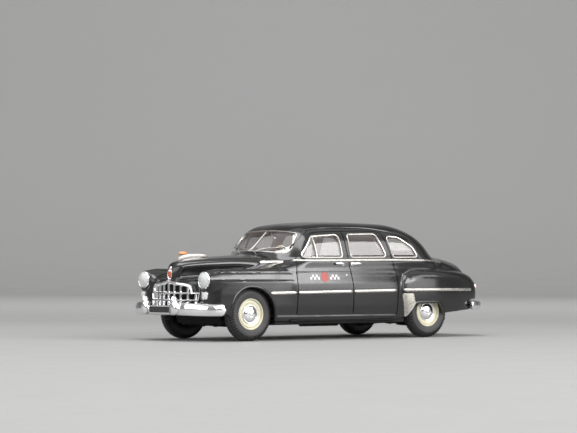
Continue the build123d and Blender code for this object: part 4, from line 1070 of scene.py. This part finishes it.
bd = rear_patch(oval(14.3, 16.5, 1.15, 1.35), [(1.0, -0.3), (1.0, 0.30), (0.96, 0.42), (0.86, 0.46), (0.78, 0.40), (0.76, 0.2), (0.05, 0.2)])
bd.mirror_y()
finish(bd.object("tail_lamp_bezels"), CHROME, ["tail_lamps"])
bd = rear_patch(oval(14.3, 16.5, 0.88, 1.04), [(1.0, 0.2), (1.0, 0.42), (0.9, 0.58), (0.7, 0.76), (0.4, 0.9), (0.05, 0.95)])
bd.mirror_y()
finish(bd.object("tail_lamp_lenses"), RED)

# ---------------------------------------------------------------- number plates, left blank
def plate(name, x, sgn, z0, z1, hw, node):
    loop = resample(rounded([(-hw, z0), (hw, z0), (hw, z1), (-hw, z1)], 0.55), 0.3, True)
    bd = Build()
    prof = [(0.0, 0.0), (0.0, 0.28), (0.05, 0.34), (0.22, 0.34), (0.27, 0.26), (0.6, 0.26)]
    c = loop.mean(0)
    rings = [np.stack([np.full(len(loop), x + sgn * h), *inward(loop, o).T], 1) for o, h in prof]
    bd.rings(rings)
    ob = bd.object(name)
    finish(ob, PLATE, [node])
    ob.data.materials.append(WHITE)
    for p in ob.data.polygons:
        d = abs(p.center.x / MM - (x + sgn * 0.34))
        p.material_index = 1 if d < 0.012 else 0
    return ob


plate("front_plate", 62.38, 1, 8.75, 11.15, 5.6, "front_number_plate")
plate("rear_plate", -60.62, -1, 12.9, 15.5, 5.6, "rear_number_plate")

# ---------------------------------------------------------------- badge and mascot on the bonnet
def nose(yz):
    return on_front(yz, 63.0)


shield = resample(rounded([(0.0, 19.35), (1.05, 20.3), (1.15, 21.6), (0.62, 22.3), (0.42, 23.1), (0.0, 23.65), (-0.42, 23.1), (-0.62, 22.3), (-1.15, 21.6), (-1.05, 20.3)],
                          [0.3, 0.6, 0.5, 0.5, 0.4, 0.15, 0.4, 0.5, 0.5, 0.6]), 0.16, True)
bd = Build()
frame_ring(bd, shield, nose, [(-0.02, -0.25), (-0.02, 0.16), (0.05, 0.24), (0.11, 0.24), (0.16, 0.14), (0.18, -0.25)])
badge_rim = bd
inner = inward(shield, 0.14)
bd = Build()
c = inner.mean(0)
nr = np.array([1.0, 0, 0.1])
bd.rings([nose(c + (inner - c) * k) + nr * h for k, h in ((1.0, -0.1), (1.0, 0.14), (0.8, 0.2), (0.5, 0.24), (0.05, 0.26))])
bar_path = nose(resample([(0.0, 21.95), (0.0, 23.3)], 0.15))
sweep(badge_rim, bar_path, normals_at(bar_path), [(-0.3, -0.2), (-0.3, 0.3), (0.0, 0.42), (0.3, 0.3), (0.3, -0.2)], taper=lambda t: 1.0 - 0.55 * t)
finish(badge_rim.object("badge_rim"), CHROME, ["bonnet_badge"])
finish(bd.object("badge_enamel"), ENAMEL)

bd = Build()
rings = []
for x, w, zt in ((43.6, 0.14, 27.3), (44.0, 0.3, 27.45), (45.8, 0.42, 27.7), (48.0, 0.52, 27.8), (50.5, 0.6, 27.75), (52.6, 0.62, 27.6), (54.0, 0.55, 27.25), (54.9, 0.4, 26.7), (55.3, 0.16, 26.1)):
    zb = float(on_top([(x, 0.0)])[0, 2]) - 0.2
    zm = zb + 0.62 * (zt - zb)
    rings.append([(x, w * math.sin(a), (zm + (zt - zm) * math.cos(a)) if math.cos(a) > 0 else (zm + (zm - zb) * math.cos(a))) for a in np.linspace(0, 2 * math.pi, 20, endpoint=False)])
bd.rings(rings)
base = [on_top(np.stack([50.2 + 4.4 * np.cos(t), 0.72 * np.sin(t)], 1)) for t in [np.linspace(0, 2 * math.pi, 40, endpoint=False)]][0]
bc = base.mean(0)
bd.rings([base + [0, 0, -0.2], base + [0, 0, 0.16], bc + (base - bc) * 0.9 + [0, 0, 0.26], bc + (base - bc) * [0.6, 0.5, 1] + [0, 0, 0.34]])
finish(bd.object("mascot_spear"), SATIN, ["bonnet_mascot"])
bd = Build()
bd.rings([[(x, r * math.sin(a) * 0.95, 27.62 + r * math.cos(a) * (1.0 if math.cos(a) > 0 else 0.6)) for a in np.linspace(0, 2 * math.pi, 20, endpoint=False)]
          for x, r in ((51.6, 0.06), (51.8, 0.34), (52.3, 0.56), (53.0, 0.7), (53.8, 0.74), (54.5, 0.64), (55.0, 0.42), (55.2, 0.06))])
finish(bd.object("mascot_crest"), AMBER, ["bonnet_mascot_tip"])

# bright strips on the bonnet sides, with fine ribs
bd = Build()
p = on_side(resample([(31.2, 24.9), (24.8, 25.18)], 0.16))
nr = normals_at(p)
sweep(bd, p, nr, strip_profile(1.05, 0.26), taper=round_ends(70))
for i in range(6, len(p) - 6, 3):
    q = p[i]
    sweep(bd, np.array([q + [0, 0.05, -0.3], q, q + [0, -0.05, 0.3]]), np.array([nr[i]] * 3), [(-0.09, 0.1), (-0.09, 0.3), (0.09, 0.3), (0.09, 0.1)])
bd.mirror_y()
finish(bd.object("bonnet_strips"), BRIGHT, ["bonnet_side_badges"])

# ---------------------------------------------------------------- stone guards with a woven face
GUARD = rounded([(-20.95, 14.65), (-24.9, 14.65), (-25.8, 11.3), (-23.3, 7.1), (-22.75, 7.1)], [0.3, 0.3, 0.9, 0.3, 0.3], 5)


def inside_loop(q, loop):
    return polygon_distance(np.array([q[0]]), np.array([q[1]]), loop)[0]


bd = Build()
pane(bd, GUARD, on_side, 0.12, -0.12)
frame_ring(bd, GUARD, on_side, [(-0.02, -0.1), (-0.02, 0.18), (0.06, 0.24), (0.2, 0.24), (0.26, 0.12), (0.26, -0.1)])
cells = [(x, z) for i, x in enumerate(np.arange(-26.2, -20.8, 0.36)) for z in np.arange(7.1, 14.6, 0.36) if inside_loop((x, z), GUARD) < -0.42]
put = on_side(np.array(cells))
nrm = normals_at(put)
for q, nn in zip(put, nrm):
    u = np.array([1.0, 0, 0]) - nn * nn[0]
    u /= np.linalg.norm(u)
    v = np.cross(nn, u)
    low_r, top_r = 0.15, 0.09
    bd.rings([[q + nn * 0.10 + (u * a + v * b) * low_r for a, b in ((1, 1), (-1, 1), (-1, -1), (1, -1))], [q + nn * 0.22 + (u * a + v * b) * top_r for a, b in ((1, 1), (-1, 1), (-1, -1), (1, -1))]])
bd.mirror_y()
finish(bd.object("woven_stone_guards"), BRIGHT, ["stone_guards"])

# ---------------------------------------------------------------- handles
def tube(bd, pts, radii, flat=(1.0, 1.0), seg=14, ref=(0, 0, 1)):
    """Round bar along points; flat gives the two cross sizes."""
    pts = np.asarray(pts, float)
    t = np.gradient(pts, axis=0)
    t /= np.linalg.norm(t, axis=1)[:, None]
    rings = []
    for i in range(len(pts)):
        u = np.cross(t[i], ref)
        u /= np.linalg.norm(u)
        v = np.cross(u, t[i])
        r = radii[i] if not np.isscalar(radii) else radii
        rings.append([pts[i] + u * r * flat[0] * math.cos(a) + v * r * flat[1] * math.sin(a) for a in np.linspace(0, 2 * math.pi, seg, endpoint=False)])
    bd.rings(rings)


bd = Build()
for x0, d in ((3.3, 1.0), (0.2, -1.0)):
    foot = on_side([(x0 + d * 0.4, 24.35)])[0]
    nn = normals_at(np.array([foot]))[0]
    line = [foot + nn * -0.1, foot + nn * 0.45 + [d * 0.05, 0, 0], foot + nn * 0.82 + [d * 0.4, 0, 0.06], foot + nn * 0.92 + [d * 1.2, 0, 0.14], foot + nn * 0.92 + [d * 2.2, 0, 0.18], foot + nn * 0.84 + [d * 3.0, 0, 0.16], foot + nn * 0.72 + [d * 3.6, 0, 0.1]]
    line = smooth_path(line, 30)
    tube(bd, line, [0.34 * (1.0 if i < 24 else math.sqrt(max(0.05, 1 - ((i - 24) / 6.2) ** 2))) for i in range(len(line))], (0.8, 1.15))
    bd.rings([[foot + nn * h + np.array([math.cos(a) * r * 1.3, 0, math.sin(a) * r]) for a in np.linspace(0, 2 * math.pi, 24, endpoint=False)] for h, r in ((-0.25, 0.62), (0.12, 0.62), (0.24, 0.5), (0.3, 0.3), (0.32, 0.05))])
bd.mirror_y()
finish(bd.object("door_levers"), CHROME, ["door_handles"])

bd = Build()
line = []
for y in np.linspace(-2.4, 2.4, 25):
    q = on_rear([(y, 18.55)], -66.0)[0]
    n1 = normals_at(np.array([q]))[0]
    line.append(q + n1 * (0.15 + 0.5 * math.sqrt(max(0.0, 1 - (y / 2.45) ** 4))))
tube(bd, line, 0.36, (1.0, 1.0), ref=(0, 0, 1))
for y in (-2.1, 0.0, 2.1):
    q = on_rear([(y, 18.55)], -66.0)[0]
    n1 = normals_at(np.array([q]))[0]
    bd.rings([[q + n1 * h + np.array([0, math.cos(a) * r, math.sin(a) * r]) for a in np.linspace(0, 2 * math.pi, 16, endpoint=False)] for h, r in ((-0.2, 0.6), (0.2, 0.56), (0.34, 0.4), (0.5, 0.3))])
finish(bd.object("boot_lid_handle"), CHROME, ["boot_handle"])

# ---------------------------------------------------------------- wipers
bd = Build()
for s in (1, -1):
    blade = on_front(resample([(3.4 * s, 29.0), (12.6 * s, 29.75)], 0.5))
    nb = normals_at(blade)
    sweep(bd, blade, nb, [(-0.1, -0.3), (-0.13, 0.05), (-0.1, 0.22), (0.1, 0.22), (0.13, 0.05), (0.1, -0.3)])
    a0 = on_front([(4.2 * s, 27.95)])[0]
    a1 = on_front([(8.0 * s, 29.4)])[0]
    n0, n1 = normals_at(np.array([a0]))[0], normals_at(np.array([a1]))[0]
    arm = smooth_path([a0 - n0 * 0.1, a0 + n0 * 0.45, (a0 + a1) / 2 + n0 * 0.5, a1 + n1 * 0.3], 20)
    tube(bd, arm, [0.16 - 0.05 * i / len(arm) for i in range(len(arm))])
    bd.rings([[a0 + n0 * h + np.array([0, math.cos(a) * r, math.sin(a) * r]) for a in np.linspace(0, 2 * math.pi, 16, endpoint=False)] for h, r in ((-0.3, 0.4), (0.2, 0.4), (0.4, 0.28), (0.48, 0.05))])
finish(bd.object("wiper_arms"), STEEL, ["wipers"])

# ---------------------------------------------------------------- taxi signs printed on the front doors
def print_patch(bd, loop, lift=0.035, scales=(1.0, 0.7, 0.35, 0.04)):
    loop = np.asarray(loop, float)
    c = loop.mean(0)
    rings = []
    for k, h in [(1.0, -0.05), (1.0, lift)] + [(k, lift) for k in scales[1:]]:
        q = on_side(c + (loop - c) * k)
        rings.append(q + normals_at(q) * h)
    bd.rings(rings)


bd = Build()
print_patch(bd, oval(12.0, 20.2, 1.62, 1.62, 40))
bd.mirror_y()
finish(bd.object("door_disc"), SIGNRED)
bd = Build()
CELL = 0.78
for xc in (16.1, 7.9):
    for i in range(5):
        for j in range(2):
            if (i + j) % 2 == 0:
                x0, z0 = xc + (i - 2.5) * CELL, 19.38 + j * CELL
                print_patch(bd, resample([(x0, z0), (x0 + CELL, z0), (x0 + CELL, z0 + CELL), (x0, z0 + CELL)], 0.2, True))
print_patch(bd, oval(2.7, 20.85, 0.28, 0.28, 16), 0.08)
bd.mirror_y()
finish(bd.object("door_checkers"), WHITE)

# ---------------------------------------------------------------- cabin insert
def bench(name, pts, hw, material, node, pleats, face):
    """Bench swept across the cabin; soft edges and sewn pleats on the cushion and the back."""
    prof = resample(rounded(pts, 0.8, 6), 0.45, True)
    ys = np.linspace(-hw, hw, 161)
    rings = []
    cxz = prof.mean(0)
    for y in ys:
        e = hw - abs(y)
        k = 1.0 - 0.06 * (1 - min(1.0, e / 1.2)) ** 2
        groove_d = 0.16 * max(0.0, 1 - abs(((y / hw * pleats) % 1.0) - 0.5) * 2 * 3.2) if pleats else 0.0
        q = cxz + (prof - cxz) * k
        if groove_d:
            q = inward(q, groove_d)
        rings.append(np.stack([q[:, 0], np.full(len(q), y), np.maximum(q[:, 1], pts[0][1])], 1))
    bd = Build()
    bd.rings(rings)
    return finish(bd.object(name), material, [node])


bench("front_bench", [(13.0, 7.65), (13.4, 14.0), (5.2, 13.4), (3.2, 25.0), (0.6, 25.0), (1.6, 7.65)], 15.7, SEAT, "front_seat", 12, 1)
bench("rear_bench", [(-23.0, 13.35), (-22.6, 17.4), (-31.6, 16.8), (-34.6, 27.0), (-37.2, 27.0), (-36.0, 13.35)], 13.5, SEAT, "rear_seat", 10, 1)
bench("dash_panel", [(24.0, 7.7), (24.1, 26.1), (21.4, 26.6), (20.4, 22.4), (22.6, 20.0), (23.2, 7.7)], 13.3, TRIMP, "dashboard", 0, 1)
bd = Build()
for yc, r in ((7.2, 1.5), (3.4, 0.9)):
    bd.rings([[(20.9 - h + 0.22 * (24.4 - 22.4 - math.sin(a) * r * 0.5), yc + math.cos(a) * q, 24.4 + math.sin(a) * q) for a in np.linspace(0, 2 * math.pi, 28, endpoint=False)] for h, q in ((-0.4, r), (0.2, r), (0.3, r * 0.92), (0.22, r * 0.84), (0.05, r * 0.8), (0.05, 0.05))])
finish(bd.object("dash_dials"), IVORY)

# steering wheel: rim, hub, two spokes and column on the wheel's own tilted plane
tilt = math.radians(62)
ax = np.array([-math.sin(tilt), 0, math.cos(tilt)])
ue = np.array([0, 1.0, 0])
ve = np.cross(ax, ue)
hub = np.array([17.6, 7.2, 26.6])
bd = Build()
rim_pts = [hub + 4.0 * (ue * math.cos(a) + ve * math.sin(a)) for a in np.linspace(0, 2 * math.pi, 64, endpoint=False)]
rings = []
for a in np.linspace(0, 2 * math.pi, 64, endpoint=False):
    rad = ue * math.cos(a) + ve * math.sin(a)
    rings.append([hub + rad * (4.0 + 0.3 * math.cos(b)) + ax * 0.3 * math.sin(b) for b in np.linspace(0, 2 * math.pi, 12, endpoint=False)])
bd.rings(rings, closed_path=True)
for a in (0.15, math.pi - 0.15, -math.pi / 2):
    rad = ue * math.cos(a) + ve * math.sin(a)
    tube(bd, [hub + rad * r + ax * (-0.25 * (1 - r / 4)) for r in np.linspace(0.3, 3.85, 8)], 0.18, ref=tuple(ax))
bd.rings([[hub + ax * h + (ue * math.cos(a) + ve * math.sin(a)) * r for a in np.linspace(0, 2 * math.pi, 24, endpoint=False)] for h, r in ((-0.5, 0.55), (0.0, 0.8), (0.3, 0.72), (0.42, 0.4), (0.45, 0.04))])
tube(bd, [hub - ax * d for d in np.linspace(0.3, 5.2, 8)], 0.36, ref=(0, 1, 0))
finish(bd.object("ivory_wheel"), IVORY, ["steering_wheel"])

bd = Build()
loop = resample(rounded([(-1.75, 32.2), (1.75, 32.2), (1.55, 33.4), (-1.55, 33.4)], 0.45), 0.25, True)
c = loop.mean(0)
bd.rings([np.stack([np.full(len(loop), x), *(c + (loop - c) * k).T], 1) for x, k in ((16.9, 0.05), (16.86, 0.9), (16.95, 1.0), (17.2, 1.0), (17.42, 0.86), (17.5, 0.4), (17.52, 0.04))])
tube(bd, [(17.2, 0, 33.0), (17.3, 0, 34.0), (17.5, 0, 34.9), (17.9, 0, 35.6)], 0.2, ref=(0, 1, 0))
finish(bd.object("cabin_mirror"), CHROME, ["rear_view_mirror"])

# ---------------------------------------------------------------- springs under the tail
bd = Build()
for y in (12.2, -12.2):
    for k, (x0, x1) in enumerate(((-20.6, -46.4), (-23.6, -43.8), (-26.6, -41.0))):
        xs = np.linspace(x0, x1, 40)
        zs = 4.55 - 0.34 * k + 0.0085 * (xs + 33.6) ** 2
        bd.rings([[(x, y + b * 0.75, z + a * 0.15) for a, b in ((1, 1), (1, -1), (-1, -1), (-1, 1))] for x, z in zip(xs, zs)])
    for xc in (-32.2, -35.4):
        bd.rings([[(xc + a * 0.35, y + b * 1.0, z) for a, b in ((1, 1), (-1, 1), (-1, -1), (1, -1))] for z in (3.5, 5.4)])
    tube(bd, [(-20.6, y - 1.1, 6.0), (-20.6, y + 1.1, 6.0)], 0.55)
    tube(bd, [(-46.4, y - 1.1, 5.95), (-46.4, y + 1.1, 5.95)], 0.5)
finish(bd.object("leaf_springs"), PLASTIC)

bd = Build()
rings = []
for y in np.linspace(-11.6, 11.6, 47):
    dip = 0.9 * step01((11.6 - abs(y)) / 5.0)
    sec = rounded([(43.2, 5.6 - dip), (47.2, 5.9 - dip), (47.6, 9.4), (42.8, 9.4)], [0.5, 0.5, 0.2, 0.2], 4)
    rings.append(np.stack([sec[:, 0], np.full(len(sec), y), sec[:, 1]], 1))
bd.rings(rings)
for y in (-6.5, 0.0, 6.5):
    bd.rings([[(45.3 + math.cos(a) * r, y + math.sin(a) * r, z) for a in np.linspace(0, 2 * math.pi, 18, endpoint=False)] for z, r in ((4.9, 0.9), (4.5, 0.85), (4.35, 0.6), (4.32, 0.05))])
finish(bd.object("front_crossmember"), PLASTIC)

for node, material in (("base_plate", PLASTIC), ("exhaust", GREY), ("cabin_floor", TRIMP), ("front_axle_rod", STEEL), ("rear_axle_rod", STEEL)):
    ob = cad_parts[node]
    ob.data.materials.clear()
    ob.data.materials.append(material)

# ---------------------------------------------------------------- floor, light, camera
me = bpy.data.meshes.new("floor")
bm = bmesh.new()
prof = [(1.2, 0.0)] + [(-0.9 - 0.35 * math.sin(a), 0.35 - 0.35 * math.cos(a)) for a in np.linspace(0, math.pi / 2, 16)] + [(-1.25, 1.6)]
view_dir = Vector((0.62806, 0.778013, 0)).normalized()
side_dir = Vector((-view_dir.y, view_dir.x, 0))
rows = []
for d, z in prof:
    rows.append([bm.verts.new(view_dir * d + side_dir * s + Vector((0, 0, z))) for s in (-2.0, 2.0)])
for r0, r1 in zip(rows, rows[1:]):
    bm.faces.new((r0[0], r0[1], r1[1], r1[0]))
bm.to_mesh(me)
bm.free()
floor = bpy.data.objects.new("floor", me)
bpy.context.collection.objects.link(floor)
me.materials.append(PAPER)
for p in me.polygons:
    p.use_smooth = True

bpy.context.scene.view_settings.view_transform = "Standard"
world = bpy.data.worlds.new("studio")
bpy.context.scene.world = world
world.use_nodes = True
wn, wl = world.node_tree.nodes, world.node_tree.links
wc = wn.new("ShaderNodeTexCoord")
ws = wn.new("ShaderNodeSeparateXYZ")
wr = wn.new("ShaderNodeValToRGB")
wl.new(wc.outputs["Generated"], ws.inputs["Vector"])
wl.new(ws.outputs["Z"], wr.inputs["Fac"])
el = wr.color_ramp.elements
el[0].position, el[0].color = 0.0, (0.30, 0.30, 0.30, 1)
el[1].position, el[1].color = 1.0, (0.85, 0.85, 0.85, 1)
for pos, v in ((0.10, 0.30), (0.32, 0.34), (0.55, 0.52), (0.76, 0.80)):
    e = el.new(pos)
    e.color = (v, v, v, 1)
wl.new(wr.outputs["Color"], wn["Background"].inputs["Color"])
wn["Background"].inputs["Strength"].default_value = 1.0


def area(name, loc, target, size, power, turn=0.0):
    li = bpy.data.lights.new(name, "AREA")
    li.shape = "RECTANGLE"
    li.size, li.size_y = size
    li.energy = power
    ob = bpy.data.objects.new(name, li)
    ob.location = loc
    ob.rotation_euler = (Vector(target) - Vector(loc)).to_track_quat("-Z", "Y").to_euler()
    ob.rotation_euler.rotate_axis("Z", math.radians(turn))
    bpy.context.collection.objects.link(ob)
    return ob


area("softbox_top", (0.16, 0.04, 0.60), (0.06, 0.0, 0.0), (0.55, 0.40), 4.2)
area("softbox_left", (-0.148, 0.704, 0.31), (0.0, 0.0, 0.02), (0.84, 0.22), 5.9)
area("softbox_left_high", (-0.239, 0.658, 0.53), (0.0, 0.0, 0.02), (1.2, 0.20), 2.6)
area("softbox_left_low", (-0.490, 0.606, 0.11), (0.0, 0.0, 0.03), (0.24, 0.18), 0.30)
area("softbox_left_wide", (-0.36, 0.69, 0.12), (0.0, 0.0, 0.03), (0.56, 0.20), 0.42)
area("softbox_front", (0.80, 0.10, 0.32), (0.05, 0.0, 0.03), (1.3, 0.50), 5.0)
area("softbox_back", tuple(view_dir * -0.45 + Vector((0, 0, 0.46))), tuple(view_dir * -1.15 + Vector((0, 0, 0.10))), (1.3, 0.3), 5.0)

cam = bpy.data.cameras.new("camera")
cam.sensor_width = 36.0
cam.lens = 160.622
cam.clip_start, cam.clip_end = 0.01, 20
cam_ob = bpy.data.objects.new("camera", cam)
right = Vector((-0.778081, 0.62816, 0.002268))
up = Vector((0.011431, 0.010548, 0.999879))
back = Vector((0.62806, 0.778013, -0.015388))
m = Matrix((right, up, back)).transposed().to_4x4()
m.translation = Vector((0.541239, 0.657611, 0.026882))
cam_ob.matrix_world = m
bpy.context.collection.objects.link(cam_ob)
bpy.context.scene.camera = cam_ob
